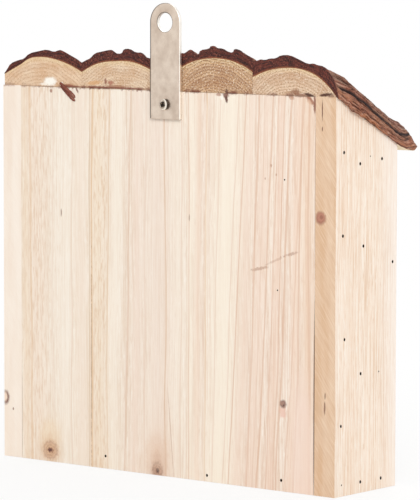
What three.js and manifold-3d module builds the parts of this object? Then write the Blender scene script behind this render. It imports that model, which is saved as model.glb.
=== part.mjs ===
// Insect hotel: a nailed softwood box with shelves of nesting fillings, under a roof of
// bark-clad half logs, hung on a wall by one steel plate that turns on its screw.
//
// Lengths are millimetres. Seen from the front, +X is right, the front faces -Y and +Z is up.
// The origin is the middle of the footprint, on the surface that the box stands on.

import * as THREE from 'three';
import { ConvexGeometry } from 'three/addons/geometries/ConvexGeometry.js';
import { mergeVertices } from 'three/addons/utils/BufferGeometryUtils.js';
import Module from 'manifold-3d';

const wasm = await Module();
wasm.setup();

// Driving dimensions of the box
const bodyWidth = 280;
const bodyDepth = 65;
const backHeight = 252;
const frontHeight = 220;
const sideThickness = 16;
const panelThickness = 16;
const shelfThickness = 16;
const dividerThickness = 10;
const lowerShelfTop = 84;
const upperShelfTop = 159;
const ceilingDrop = 1;
const seatGap = 0.3;
const overrun = 1;

// Bays of the middle and the top row, and the joints between the staves of the back panel
const chamberWidth = 80;
const logBayWidth = 88;
const staveJointShares = [0.4194, 0.752];

// Roof of half logs
const roofOverhang = 21.5;
const endRecess = 0.5;
const slabJoint = 0.6;
const slabCrown = 22;
const frontThinningShare = 0.04;
const tipLift = 4.2;
const tipStartShare = 0.76;
const tipHeightShares = [1, 0.95, 0.4];
const noseHeight = 4;
const barkReliefShare = 0.12;
const barkReliefTurn = Math.PI * 5;
const barkReliefStep = 2;
const flankOverhang = 5;
const flankTaperShare = 0.6;
const slabAlong = 4;

// Each slab from -X to +X: the share of the roof's width that it takes, and the stations across
// its section. A station has its place across, the heights of wood and bark there as shares of
// the crown height, and the share of the flank's overhang that the bark leans out there.
const slabShares = [
  {
    width: 0.2384,
    stations: [
      [0, 0.045, -0.055, 0.42], [0.038, 0.145, 0.227, 0.92], [0.073, 0.236, 0.523, 1],
      [0.124, 0.359, 0.736, 0.97], [0.177, 0.478, 0.864, 0.71], [0.26, 0.625, 0.936, 0.38],
      [0.32, 0.69, 0.918, 0.15], [0.419, 0.759, 1.045, 0], [0.525, 0.794, 1.155, 0],
      [0.646, 0.781, 1.136, 0], [0.721, 0.753, 1.041, 0], [0.842, 0.671, 0.986, 0],
      [0.91, 0.604, 1.005, 0], [1, 0.486, 0.945, 0],
    ],
  },
  {
    width: 0.2477,
    stations: [
      [0, 0.627, 1.027, 0], [0.101, 0.793, 1.145, 0], [0.21, 0.909, 1.3, 0],
      [0.239, 0.937, 1.164, 0], [0.341, 0.982, 1.286, 0], [0.443, 0.998, 1.359, 0],
      [0.508, 0.992, 1.318, 0], [0.61, 0.955, 1.223, 0], [0.646, 0.935, 1.086, 0],
      [0.745, 0.845, 1.236, 0], [0.814, 0.749, 1.109, 0], [0.93, 0.591, 0.991, 0],
      [1, 0.477, 0.818, 0],
    ],
  },
  {
    width: 0.2674,
    stations: [
      [0, 0.386, 0.75, 0], [0.137, 0.545, 0.936, 0], [0.257, 0.678, 0.977, 0],
      [0.291, 0.718, 1.105, 0], [0.419, 0.824, 1.205, 0], [0.506, 0.845, 1.191, 0],
      [0.533, 0.84, 1.05, 0], [0.599, 0.827, 1.05, 0], [0.634, 0.821, 1.15, 0],
      [0.755, 0.782, 1.1, 0], [0.843, 0.706, 1.045, 0], [0.903, 0.625, 0.877, 0],
      [1, 0.464, 0.745, 0],
    ],
  },
  {
    width: 0.2465,
    stations: [
      [0, 0.468, 0.755, 0], [0.135, 0.663, 0.964, 0], [0.256, 0.777, 1.109, 0],
      [0.342, 0.833, 1.041, 0], [0.439, 0.876, 1.114, 0], [0.537, 0.882, 1.059, 0],
      [0.668, 0.82, 0.982, 0], [0.741, 0.704, 0.823, 0], [0.8, 0.606, 0.773, 0],
      [0.917, 0.447, 0.659, 0], [1, 0.336, 0.418, 0],
    ],
  },
];

// Hanger plate and its screw
const plateWidth = 25;
const plateLength = 75;
const plateThickness = 2;
const plateHole = 12.3;
const plateCorner = 0.6;
const plateSegments = 8;
const screwHole = 4.5;
const screwInset = 9.6;
const screwDrop = 8.7;
const hangerOffset = -3.2;
const runningGap = 0.3;
const screwShank = 3.5;
const screwLength = 12;
const screwHead = 7.5;
const screwHeadHeight = 2.2;
const screwCrownShares = [0.7, 0.9];
const recessSpan = 4;
const recessWidth = 0.9;
const recessDepth = 1.2;

// Butterfly front
const frontBoardThickness = 8;
const slotCount = 3;
const slotWidth = 6;
const slotHeightShare = 0.76;
const slotPitch = 22;

// Bamboo canes
const caneDiameter = 20.7;
const caneRecess = 1.5;
const fillingRearGap = 1.5;
const caneBoreShare = 0.58;
const slimBoreShare = 0.46;
const caneDiaphragm = 4;
const caneTaperShare = 0.96;
const caneSides = 12;
const slimCaneShare = 0.48;
const caneSizeShares = [1, 0.95, 0.98, 0.97, 1, 0.94, 0.98, 0.96, 1];

// Drilled blocks and log sections
const fillingRecess = 2;
const wideDrill = 8;
const narrowDrill = 5;
const drillFloor = 6;
const drillSides = 10;
const logSides = 20;
const blockWideShares = [[0.2, 0.3], [0.5, 0.66], [0.8, 0.34]];
const blockNarrowShares = [[0.21, 0.74], [0.79, 0.76]];
const logWideShares = [[0.1, 0.18]];
const logNarrowShares = [[-0.5, 0], [0.3, -0.48]];

// Pine cones
const coneClearance = 2;
const coneGirthShare = 0.9;
const coneCoreShare = 0.55;
const coneFullnessShare = 0.72;
const coneFirstShare = 0.07;
const coneLastShare = 0.84;
const coneScales = 26;
const coneTurn = Math.PI * (3 - Math.sqrt(5));
const coneCoreSides = 8;
const scaleWidthShare = 0.88;
const scaleHeightShare = 0.44;
const scaleRimShare = 0.9;
const scaleRootShare = 0.3;
const scaleLeanShare = 0.75;

// Wire mesh
const wireDiameter = 1;
const wirePitch = 15.8;
const wireSides = 6;
const meshOverlap = 6;
const weldShare = 0.3;

// Places that follow from the driving dimensions
const backY = bodyDepth / 2;
const frontY = -backY;
const innerX = bodyWidth / 2 - sideThickness;
const innerY = backY - panelThickness;
const ceilingTop = frontHeight - ceilingDrop;
const ceilingBottom = ceilingTop - shelfThickness;
const lowerShelfBottom = lowerShelfTop - shelfThickness;
const upperShelfBottom = upperShelfTop - shelfThickness;
const caneLength = innerY - frontY - caneRecess - fillingRearGap;
const blockDepth = innerY - frontY - fillingRecess - fillingRearGap;
const drillDepth = blockDepth - drillFloor;
const roofRun = bodyDepth + roofOverhang - endRecess;
const roofSlope = (backHeight - frontHeight) / bodyDepth;
const roofAt = (y) => frontHeight + (y - frontY) * roofSlope;

const hotel = new THREE.Group();

// Finishes as colour, roughness and metalness
const finishes = {
  panel: [0xf0dfcb, 0.7, 0],
  side: [0xf6e4d0, 0.7, 0],
  shelf: [0xeeddc4, 0.72, 0],
  slab: [0xd9bd94, 0.8, 0],
  bark: [0x6a3b30, 0.95, 0],
  steel: [0xc9c2b8, 0.38, 1],
  bamboo: [0xd8bd7e, 0.55, 0],
  cone: [0x7a4f33, 0.85, 0],
  block: [0xe3c79b, 0.75, 0],
  log: [0xc7a477, 0.8, 0],
  wire: [0xb9bcbe, 0.4, 1],
};

// Adds one named piece with a material of its own
function addPiece(parent, name, geometry, finish, place = new THREE.Vector3()) {
  const [color, roughness, metalness] = finishes[finish];
  const piece = new THREE.Mesh(geometry, new THREE.MeshStandardMaterial({ color, roughness, metalness }));
  piece.name = name;
  piece.position.copy(place);
  parent.add(piece);
  return piece;
}

// Turns a closed geometry into a solid for joining and cutting
function toSolid(geometry) {
  const bare = geometry.clone();
  bare.deleteAttribute('normal');
  bare.deleteAttribute('uv');
  const merged = mergeVertices(bare, seatGap / 1000);
  const vertProperties = new Float32Array(merged.attributes.position.array);
  const triVerts = new Uint32Array(merged.index.array);
  return new wasm.Manifold(new wasm.Mesh({ numProp: 3, vertProperties, triVerts }));
}

// Turns a solid back into a geometry
function toGeometry(solid) {
  const mesh = solid.getMesh();
  const geometry = new THREE.BufferGeometry();
  geometry.setAttribute('position', new THREE.BufferAttribute(mesh.vertProperties.slice(), 3));
  geometry.setIndex(new THREE.BufferAttribute(mesh.triVerts.slice(), 1));
  geometry.computeVertexNormals();
  return geometry;
}

// Cuts every tool geometry out of a body geometry
function cutAway(body, tools) {
  let solid = toSolid(body);
  for (const tool of tools) {
    solid = solid.subtract(toSolid(tool));
  }
  return toGeometry(solid);
}

// Joins geometries that overlap into one body
function joinAll(geometries) {
  let solid = toSolid(geometries[0]);
  for (const geometry of geometries.slice(1)) {
    solid = solid.add(toSolid(geometry));
  }
  return toGeometry(solid);
}

// A straight board between two corners
function board(low, high) {
  const size = new THREE.Vector3().subVectors(high, low);
  const middle = new THREE.Vector3().addVectors(high, low).divideScalar(2);
  return new THREE.BoxGeometry(size.x, size.y, size.z).translate(middle.x, middle.y, middle.z);
}

// A board whose top edge follows the roof: its Y-Z profile is extruded along X
function roofedBoard(lowX, highX, lowY, highY, gap) {
  const profile = new THREE.Shape();
  profile.moveTo(lowY, 0);
  profile.lineTo(highY, 0);
  profile.lineTo(highY, roofAt(highY) - gap);
  profile.lineTo(lowY, roofAt(lowY) - gap);
  profile.closePath();
  const geometry = new THREE.ExtrudeGeometry(profile, { depth: highX - lowX, bevelEnabled: false });
  const turn = new THREE.Matrix4().makeBasis(
    new THREE.Vector3(0, 1, 0), new THREE.Vector3(0, 0, 1), new THREE.Vector3(1, 0, 0));
  return geometry.applyMatrix4(turn).translate(lowX, 0, 0);
}

// A flat plate drawn in X-Z, with its front at lowY
function uprightPlate(shape, lowY, thickness, curveSegments) {
  const geometry = new THREE.ExtrudeGeometry(shape, { depth: thickness, bevelEnabled: false, curveSegments });
  const turn = new THREE.Matrix4().makeBasis(
    new THREE.Vector3(1, 0, 0), new THREE.Vector3(0, 0, 1), new THREE.Vector3(0, -1, 0));
  return geometry.applyMatrix4(turn).translate(0, lowY + thickness, 0);
}

// A closed sheet between an upper and a lower surface. Each surface gives a point for the number
// of a station, which grows with X, and for a row, which lies further to the front than the last.
function sheetBetween(upperAt, lowerAt, stations, rows) {
  const across = stations - 1;
  const last = rows.length - 1;
  const at = (layer, i, j) => (layer * rows.length + j) * stations + i;
  const positions = [];
  for (const surface of [upperAt, lowerAt]) {
    for (const row of rows) {
      for (let i = 0; i < stations; i += 1) {
        positions.push(...surface(i, row).toArray());
      }
    }
  }
  const faces = [];
  const quad = (a, b, c, d) => faces.push(a, b, c, a, c, d);
  for (let j = 0; j < last; j += 1) {
    for (let i = 0; i < across; i += 1) {
      quad(at(0, i, j), at(0, i, j + 1), at(0, i + 1, j + 1), at(0, i + 1, j));
      quad(at(1, i, j), at(1, i + 1, j), at(1, i + 1, j + 1), at(1, i, j + 1));
    }
    quad(at(0, 0, j + 1), at(0, 0, j), at(1, 0, j), at(1, 0, j + 1));
    quad(at(0, across, j), at(0, across, j + 1), at(1, across, j + 1), at(1, across, j));
  }
  for (let i = 0; i < across; i += 1) {
    quad(at(0, i, 0), at(0, i + 1, 0), at(1, i + 1, 0), at(1, i, 0));
    quad(at(0, i + 1, last), at(0, i, last), at(1, i, last), at(1, i + 1, last));
  }
  const geometry = new THREE.BufferGeometry();
  geometry.setAttribute('position', new THREE.Float32BufferAttribute(positions, 3));
  geometry.setIndex(faces);
  geometry.computeVertexNormals();
  return geometry;
}

// Boards of the box: two sides, a glued back panel of three staves, and four level boards
function buildCarcass() {
  const carcass = new THREE.Group();
  hotel.add(carcass);
  const outerX = bodyWidth / 2;
  addPiece(carcass, 'side_board_left', roofedBoard(-outerX, -innerX, frontY, backY, 0), 'side');
  addPiece(carcass, 'side_board_right', roofedBoard(innerX, outerX, frontY, backY, 0), 'side');

  const panelWidth = innerX * 2;
  const joints = [0, ...staveJointShares, 1].map((share) => panelWidth * share - innerX);
  for (let stave = 1; stave < joints.length; stave += 1) {
    let geometry = roofedBoard(joints[stave - 1], joints[stave], innerY, backY, seatGap);
    if (hangerOffset > joints[stave - 1] && hangerOffset < joints[stave]) {
      geometry = cutAway(geometry, [pilotHole()]);
    }
    addPiece(carcass, `back_stave_${stave}`, geometry, 'panel');
  }

  const levels = { bottom_board: shelfThickness, lower_shelf: lowerShelfTop };
  levels.upper_shelf = upperShelfTop;
  levels.ceiling_board = ceilingTop;
  for (const [name, top] of Object.entries(levels)) {
    const low = new THREE.Vector3(-innerX, frontY, top - shelfThickness);
    addPiece(carcass, name, board(low, new THREE.Vector3(innerX, innerY, top)), 'shelf');
  }
}

// Upright dividers between the bays of the three rows
function buildDividers() {
  const dividers = new THREE.Group();
  hotel.add(dividers);
  const chamberSide = (chamberWidth + dividerThickness) / 2;
  const logBaySide = (logBayWidth + dividerThickness) / 2;
  const places = [
    ['cone_bay_divider', 0, shelfThickness, lowerShelfBottom],
    ['cane_bay_divider_left', -chamberSide, lowerShelfTop, upperShelfBottom],
    ['cane_bay_divider_right', chamberSide, lowerShelfTop, upperShelfBottom],
    ['block_bay_divider_left', -logBaySide, upperShelfTop, ceilingBottom],
    ['block_bay_divider_right', logBaySide, upperShelfTop, ceilingBottom],
  ];
  for (const [name, x, bottom, top] of places) {
    const half = dividerThickness / 2;
    const low = new THREE.Vector3(x - half, frontY, bottom);
    addPiece(dividers, name, board(low, new THREE.Vector3(x + half, innerY, top)), 'shelf');
  }
}

// Rows along a slab, from its rear end to its rounded tip. Each has its share of the slab's
// length, and the share that its surfaces keep of their height above and below the nose.
function slabRows() {
  const rows = [];
  for (let row = 0; row < slabAlong; row += 1) {
    rows.push({ along: tipStartShare * row / slabAlong, kept: 1 });
  }
  const tipLength = 1 - tipStartShare;
  tipHeightShares.forEach((kept, index) => {
    const forward = index / (tipHeightShares.length - 1);
    rows.push({ along: tipStartShare + tipLength * Math.sqrt(forward), kept });
  });
  return rows;
}

// How far the trimmed underside of a slab's tip rises off the roof plane
function tipLiftAt(along) {
  const trimmed = Math.max(0, (along - tipStartShare) / (1 - tipStartShare));
  return tipLift * trimmed * Math.sqrt(trimmed);
}

// Bark plates thicken and thin down the slope, each out of step with its neighbour
function barkRelief(slabNumber, station, along) {
  const turn = along * barkReliefTurn + slabNumber * barkReliefStep + station;
  return 1 + barkReliefShare * Math.sin(turn);
}

// One roof slab: a half log with a flat underside, and the bark that covers its arch
function buildSlab(roof, slab, slabNumber, lowX, highX) {
  const width = highX - lowX;
  const rearY = backY - endRecess;
  const onRoof = (x, height, { along, kept }) => {
    const y = rearY - roofRun * along;
    const lift = tipLiftAt(along);
    const thinned = height * (1 - frontThinningShare * along) * (1 - lift / slabCrown);
    const rounded = noseHeight + (thinned - noseHeight) * kept;
    return new THREE.Vector3(x, y, roofAt(y) + seatGap + lift + rounded);
  };
  const undersideAt = (station, row) => onRoof(lowX + width * slab.stations[station][0], 0, row);
  const woodAt = (station, row) => {
    const [across, woodHeight] = slab.stations[station];
    return onRoof(lowX + width * across, slabCrown * woodHeight, row);
  };
  const liningAt = (station, row) => {
    const before = woodAt(Math.max(0, station - 1), row);
    const after = woodAt(Math.min(slab.stations.length - 1, station + 1), row);
    const outward = new THREE.Vector3(before.z - after.z, 0, after.x - before.x).normalize();
    return woodAt(station, row).addScaledVector(outward, seatGap);
  };
  const crustAt = (station, row) => {
    const [across, woodHeight, barkHeight, lean] = slab.stations[station];
    const thickness = (barkHeight - woodHeight) * barkRelief(slabNumber, station, row.along);
    const overhang = flankOverhang * lean * (1 - flankTaperShare * row.along * row.along);
    return onRoof(lowX + width * across - overhang, slabCrown * (woodHeight + thickness), row);
  };

  const rows = slabRows();
  const wood = sheetBetween(woodAt, undersideAt, slab.stations.length, rows);
  const bark = sheetBetween(crustAt, liningAt, slab.stations.length, rows);
  addPiece(roof, `roof_slab_${slabNumber}_wood`, wood, 'slab');
  addPiece(roof, `roof_slab_${slabNumber}_bark`, bark, 'bark');
}

function buildRoof() {
  const roof = new THREE.Group();
  hotel.add(roof);
  let edge = -bodyWidth / 2;
  slabShares.forEach((slab, index) => {
    const next = edge + bodyWidth * slab.width;
    buildSlab(roof, slab, index + 1, edge + slabJoint / 2, next - slabJoint / 2);
    edge = next;
  });
}

// Centre of the hanger's screw, on the back face
const screwHeight = backHeight - screwDrop;

// The hole in the back panel that the screw's shank sits in
function pilotHole() {
  const radius = screwShank / 2 + seatGap;
  const depth = screwLength + seatGap + overrun;
  const hole = new THREE.CylinderGeometry(radius, radius, depth, drillSides);
  return hole.translate(hangerOffset, backY + overrun - depth / 2, screwHeight);
}

// The hanger plate stands above its screw, with a round end and a hanging hole in it
function hangerPlate() {
  const half = plateWidth / 2;
  const bottom = -screwInset;
  const roundCentre = bottom + plateLength - half;
  const shape = new THREE.Shape();
  shape.moveTo(-half + plateCorner, bottom);
  shape.lineTo(half - plateCorner, bottom);
  shape.absarc(half - plateCorner, bottom + plateCorner, plateCorner, -Math.PI / 2, 0, false);
  shape.lineTo(half, roundCentre);
  shape.absarc(0, roundCentre, half, 0, Math.PI, false);
  shape.lineTo(-half, bottom + plateCorner);
  shape.absarc(plateCorner - half, bottom + plateCorner, plateCorner, Math.PI, Math.PI * 1.5, false);
  const hanging = new THREE.Path();
  hanging.absarc(0, roundCentre, plateHole / 2, 0, Math.PI * 2, true);
  const fixing = new THREE.Path();
  fixing.absarc(0, 0, screwHole / 2, 0, Math.PI * 2, true);
  shape.holes.push(hanging, fixing);
  return uprightPlate(shape, runningGap, plateThickness, plateSegments);
}

// A pan-head screw along Y, with its shank in the panel and a cross recess in its head
function hangerScrew() {
  const headFoot = runningGap * 2 + plateThickness;
  const headRadius = screwHead / 2;
  const [crownWidthShare, crownHeightShare] = screwCrownShares;
  const profile = [
    new THREE.Vector2(0, -screwLength),
    new THREE.Vector2(screwShank / 2, -screwLength + screwShank / 2),
    new THREE.Vector2(screwShank / 2, headFoot),
    new THREE.Vector2(headRadius, headFoot),
    new THREE.Vector2(headRadius, headFoot + screwHeadHeight / 2),
    new THREE.Vector2(headRadius * crownWidthShare, headFoot + screwHeadHeight * crownHeightShare),
    new THREE.Vector2(0, headFoot + screwHeadHeight),
  ];
  const body = new THREE.LatheGeometry(profile, drillSides);
  const recessFoot = headFoot + screwHeadHeight - recessDepth;
  const depth = recessDepth + overrun;
  const arms = [
    new THREE.BoxGeometry(recessSpan, depth, recessWidth).translate(0, recessFoot + depth / 2, 0),
    new THREE.BoxGeometry(recessWidth, depth, recessSpan).translate(0, recessFoot + depth / 2, 0),
  ];
  return cutAway(body, arms);
}

function buildHanger() {
  const hanger = new THREE.Group();
  hanger.position.set(hangerOffset, backY, screwHeight);
  hotel.add(hanger);
  addPiece(hanger, 'hanger_plate', hangerPlate(), 'steel');
  addPiece(hanger, 'hanger_screw', hangerScrew(), 'steel');
}

// The front board of the butterfly chamber, with upright slots that have round ends
function buildButterflyFront() {
  const half = chamberWidth / 2;
  const height = upperShelfBottom - lowerShelfTop;
  const shape = new THREE.Shape();
  shape.moveTo(-half, 0);
  shape.lineTo(half, 0);
  shape.lineTo(half, height);
  shape.lineTo(-half, height);
  shape.closePath();
  const radius = slotWidth / 2;
  const reach = height * slotHeightShare / 2 - radius;
  for (let slot = 0; slot < slotCount; slot += 1) {
    const x = (slot - (slotCount - 1) / 2) * slotPitch;
    const hole = new THREE.Path();
    hole.absarc(x, height / 2 + reach, radius, 0, Math.PI, false);
    hole.absarc(x, height / 2 - reach, radius, Math.PI, Math.PI * 2, false);
    hole.closePath();
    shape.holes.push(hole);
  }
  const geometry = uprightPlate(shape, frontY, frontBoardThickness, drillSides / 2);
  addPiece(hotel, 'butterfly_front', geometry, 'side', new THREE.Vector3(0, 0, lowerShelfTop));
}

// A cane cut just behind a knot: open at the front, closed by the knot's wall at the back
function caneGeometry(diameter, boreShare) {
  const radius = diameter / 2;
  const bore = radius * boreShare;
  const profile = [
    new THREE.Vector2(0, 0),
    new THREE.Vector2(radius * caneTaperShare, 0),
    new THREE.Vector2(radius, -caneLength),
    new THREE.Vector2(bore, -caneLength),
    new THREE.Vector2(bore, -caneDiaphragm),
    new THREE.Vector2(0, -caneDiaphragm),
  ];
  profile.reverse();
  return new THREE.LatheGeometry(profile, caneSides);
}

// The height at which a cane comes to rest on the shelf or on the canes below it
function restingHeight(x, radius, placed) {
  let height = lowerShelfTop + radius + seatGap;
  for (const other of placed) {
    const reach = radius + other.radius + seatGap;
    const aside = Math.abs(x - other.x);
    if (aside < reach) {
      height = Math.max(height, other.z + Math.sqrt(reach * reach - aside * aside));
    }
  }
  return height;
}

// Lays one more staggered row on the canes that are there, spread from wall to wall. A slim cane
// ends the row, in the half space beside the wall.
function layCaneRow(canes, row, lowX, highX) {
  const laid = [...canes];
  const lay = (offset, fromLow, diameter, boreShare) => {
    const x = fromLow ? lowX + offset : highX - offset;
    const radius = diameter / 2;
    laid.push({ x, z: restingHeight(x, radius, laid), radius, boreShare });
  };
  const reach = caneDiameter + seatGap;
  const span = highX - lowX - seatGap - reach;
  const across = Math.max(1, Math.floor(span / reach + 1 / 2));
  const pitch = span / (across - 1 / 2);
  const fromLow = row % 2 === 0;
  for (let column = 0; column < across; column += 1) {
    const sizeShare = caneSizeShares[(row * across + column) % caneSizeShares.length];
    const offset = seatGap + caneDiameter / 2 + column * pitch;
    lay(offset, fromLow, caneDiameter * sizeShare, caneBoreShare);
  }
  const slim = caneDiameter * slimCaneShare;
  lay(seatGap + slim / 2, !fromLow, slim, slimBoreShare);
  return laid;
}

// Fills a bay with as many rows of canes as go in under the upper shelf
function buildCaneBay(side, lowX, highX) {
  const bay = new THREE.Group();
  bay.position.y = frontY + caneRecess + caneLength;
  hotel.add(bay);
  const top = upperShelfBottom - seatGap;
  let canes = [];
  let laid = layCaneRow(canes, 0, lowX, highX);
  for (let row = 1; laid.every(({ z, radius }) => z + radius <= top); row += 1) {
    canes = laid;
    laid = layCaneRow(canes, row, lowX, highX);
  }
  canes.forEach(({ x, z, radius, boreShare }, index) => {
    const geometry = caneGeometry(radius * 2, boreShare);
    addPiece(bay, `cane_${side}_${index + 1}`, geometry, 'bamboo', new THREE.Vector3(x, 0, z));
  });
}

// A blind hole drilled from the front face, as a cutting tool
function drill(x, z, diameter, faceY) {
  const depth = drillDepth + overrun;
  const tool = new THREE.CylinderGeometry(diameter / 2, diameter / 2, depth, drillSides);
  return tool.translate(x, faceY - overrun + depth / 2, z);
}

// A squared block with two sizes of nesting holes
function buildBlock(name, lowX, highX, mirrored) {
  const faceY = frontY + fillingRecess;
  const low = new THREE.Vector3(lowX, faceY, upperShelfTop);
  const high = new THREE.Vector3(highX, faceY + blockDepth, ceilingBottom);
  const holes = [];
  const drillAll = (shares, diameter) => {
    for (const [across, up] of shares) {
      const share = mirrored ? 1 - across : across;
      holes.push(drill(lowX + (highX - lowX) * share, low.z + (high.z - low.z) * up, diameter, faceY));
    }
  };
  drillAll(blockWideShares, wideDrill);
  drillAll(blockNarrowShares, narrowDrill);
  addPiece(hotel, name, cutAway(board(low, high), holes), 'block');
}

// A section of a branch that lies on the upper shelf beside its twin, drilled from its front end
function buildLogSection(name, side) {
  const rowHeight = ceilingBottom - upperShelfTop;
  const diameter = Math.min(rowHeight - seatGap * 2, logBayWidth / 2 - seatGap * 2);
  const radius = diameter / 2;
  const section = new THREE.CylinderGeometry(radius, radius, blockDepth, logSides);
  section.translate(0, blockDepth / 2, 0);
  const holes = [];
  const drillAll = (shares, drillDiameter) => {
    for (const [across, up] of shares) {
      holes.push(drill(-side * radius * across, radius * up, drillDiameter, 0));
    }
  };
  drillAll(logWideShares, wideDrill);
  drillAll(logNarrowShares, narrowDrill);
  const x = side * (diameter + seatGap) / 2;
  const place = new THREE.Vector3(x, frontY + fillingRecess, upperShelfTop + radius + seatGap);
  addPiece(hotel, name, cutAway(section, holes), 'log', place);
}

// One open scale of a cone: a wedge from the core to a thick rhombic end with a raised middle
function coneScale(along, rootRadius, reachRadius, angle) {
  const outward = new THREE.Vector3(0, Math.cos(angle), Math.sin(angle));
  const sideways = new THREE.Vector3(0, -Math.sin(angle), Math.cos(angle));
  const axis = new THREE.Vector3(1, 0, 0);
  const halfWidth = reachRadius * scaleWidthShare / 2;
  const halfHeight = reachRadius * scaleHeightShare / 2;
  const at = (radius, side, lift) => {
    const lean = Math.max(0, radius - rootRadius) * scaleLeanShare;
    return new THREE.Vector3()
      .addScaledVector(axis, along + lean + lift)
      .addScaledVector(outward, radius)
      .addScaledVector(sideways, side);
  };
  const rim = reachRadius * scaleRimShare;
  const root = rootRadius * scaleRootShare;
  return new ConvexGeometry([
    at(root, -halfWidth * scaleRootShare, 0),
    at(root, halfWidth * scaleRootShare, 0),
    at(root, 0, -halfHeight),
    at(rim, -halfWidth, 0),
    at(rim, halfWidth, 0),
    at(rim, 0, halfHeight),
    at(rim, 0, -halfHeight),
    at(reachRadius, 0, 0),
  ]);
}

// A pine cone along X: an egg-shaped core with scales that open along a golden-angle spiral
function coneGeometry(length, girth, turn) {
  const profileAt = (share) => {
    const swollen = Math.sin(Math.PI * Math.pow(share, coneFullnessShare));
    return Math.pow(swollen, coneFullnessShare);
  };
  const coreRadius = girth / 2 * coneCoreShare;
  const corePoints = [];
  for (let ring = 0; ring <= coneCoreSides; ring += 1) {
    const share = ring / coneCoreSides;
    const radius = ring === 0 || ring === coneCoreSides ? 0 : coreRadius * profileAt(share);
    corePoints.push(new THREE.Vector2(radius, length * share));
  }
  const core = new THREE.LatheGeometry(corePoints, coneCoreSides).rotateZ(-Math.PI / 2);
  const pieces = [core];
  for (let scale = 0; scale < coneScales; scale += 1) {
    const share = coneFirstShare + (coneLastShare - coneFirstShare) * scale / (coneScales - 1);
    const reach = girth / 2 * profileAt(share);
    pieces.push(coneScale(length * share, reach * coneCoreShare, reach, scale * coneTurn + turn));
  }
  const geometry = joinAll(pieces);
  geometry.computeBoundingBox();
  const { min, max } = geometry.boundingBox;
  return geometry.translate(-(min.x + max.x) / 2, -(min.y + max.y) / 2, -min.z);
}

// Two cones lie end to end in each half of the bottom row
function buildCones() {
  const bayWidth = innerX - dividerThickness / 2;
  const length = (bayWidth - coneClearance * 3) / 2;
  const girth = Math.min(lowerShelfBottom - shelfThickness, innerY - frontY) * coneGirthShare;
  for (let cone = 0; cone < 4; cone += 1) {
    const side = cone < 2 ? -1 : 1;
    const inner = cone % 2;
    const offset = dividerThickness / 2 + coneClearance + length / 2 + inner * (length + coneClearance);
    const geometry = coneGeometry(length, girth, cone * 2);
    const piece = addPiece(hotel, `pine_cone_${cone + 1}`, geometry, 'cone');
    piece.position.set(side * offset, (innerY + frontY) / 2, shelfThickness + seatGap);
    piece.rotation.z = cone % 2 === 0 ? 0 : Math.PI;
  }
}

// One straight wire between two points
function wire(from, to) {
  const along = new THREE.Vector3().subVectors(to, from);
  const geometry = new THREE.CylinderGeometry(wireDiameter / 2, wireDiameter / 2, along.length(), wireSides);
  const up = new THREE.Vector3(0, 1, 0);
  const turn = new THREE.Quaternion().setFromUnitVectors(up, along.clone().normalize());
  const middle = new THREE.Vector3().addVectors(from, to).divideScalar(2);
  return geometry.applyQuaternion(turn).translate(middle.x, middle.y, middle.z);
}

// Welded mesh over the front of the cone row: level wires behind, upright wires in front
function buildWireMesh() {
  const low = shelfThickness - meshOverlap;
  const high = lowerShelfBottom + meshOverlap;
  const half = innerX + meshOverlap;
  const levelY = frontY - seatGap - wireDiameter / 2;
  const uprightY = levelY - wireDiameter * (1 - weldShare);
  const uprights = Math.round(half * 2 / wirePitch);
  const levels = Math.round((high - low) / wirePitch);
  const wires = [];
  for (let level = 0; level <= levels; level += 1) {
    const z = low + wireDiameter + (high - low - wireDiameter * 2) * level / levels;
    wires.push(wire(new THREE.Vector3(-half, levelY, z), new THREE.Vector3(half, levelY, z)));
  }
  for (let upright = 0; upright <= uprights; upright += 1) {
    const x = -half + wireDiameter + (half * 2 - wireDiameter * 2) * upright / uprights;
    wires.push(wire(new THREE.Vector3(x, uprightY, low), new THREE.Vector3(x, uprightY, high)));
  }
  addPiece(hotel, 'wire_mesh', joinAll(wires), 'wire');
}

buildCarcass();
buildDividers();
buildRoof();
buildHanger();
buildButterflyFront();
buildCaneBay('left', -innerX, -chamberWidth / 2 - dividerThickness);
buildCaneBay('right', chamberWidth / 2 + dividerThickness, innerX);
buildBlock('drilled_block_left', -innerX, -logBayWidth / 2 - dividerThickness, false);
buildBlock('drilled_block_right', logBayWidth / 2 + dividerThickness, innerX, true);
buildLogSection('log_section_left', -1);
buildLogSection('log_section_right', 1);
buildCones();
buildWireMesh();

export default hotel;
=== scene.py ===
"""The insect hotel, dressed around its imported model: bare fir boards, half-log slabs with their
bark, a zinc-plated hanger plate, and the nesting fillings at the front."""
import math
import random

import bmesh
import bpy
from mathutils import Matrix, Vector, noise


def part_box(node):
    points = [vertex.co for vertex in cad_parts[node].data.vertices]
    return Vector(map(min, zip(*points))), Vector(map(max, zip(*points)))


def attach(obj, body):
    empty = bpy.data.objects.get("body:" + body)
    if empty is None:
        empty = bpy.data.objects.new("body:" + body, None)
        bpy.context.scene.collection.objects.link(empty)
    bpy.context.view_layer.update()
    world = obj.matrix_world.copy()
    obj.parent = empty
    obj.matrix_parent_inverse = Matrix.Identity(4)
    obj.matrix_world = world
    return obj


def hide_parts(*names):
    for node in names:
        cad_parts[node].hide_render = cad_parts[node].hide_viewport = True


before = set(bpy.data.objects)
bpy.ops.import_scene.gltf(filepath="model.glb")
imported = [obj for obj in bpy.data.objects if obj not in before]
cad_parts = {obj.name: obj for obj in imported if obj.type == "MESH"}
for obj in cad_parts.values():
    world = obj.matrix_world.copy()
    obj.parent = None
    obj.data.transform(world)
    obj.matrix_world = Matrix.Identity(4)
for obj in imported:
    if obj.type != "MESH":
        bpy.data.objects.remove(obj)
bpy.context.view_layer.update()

MM = 0.001
STILL = (0, 0, 0)
scene = bpy.context.scene


def mm(*lengths):
    """Lengths in millimetres as Blender's metres."""
    return tuple(length * MM for length in lengths)


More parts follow.
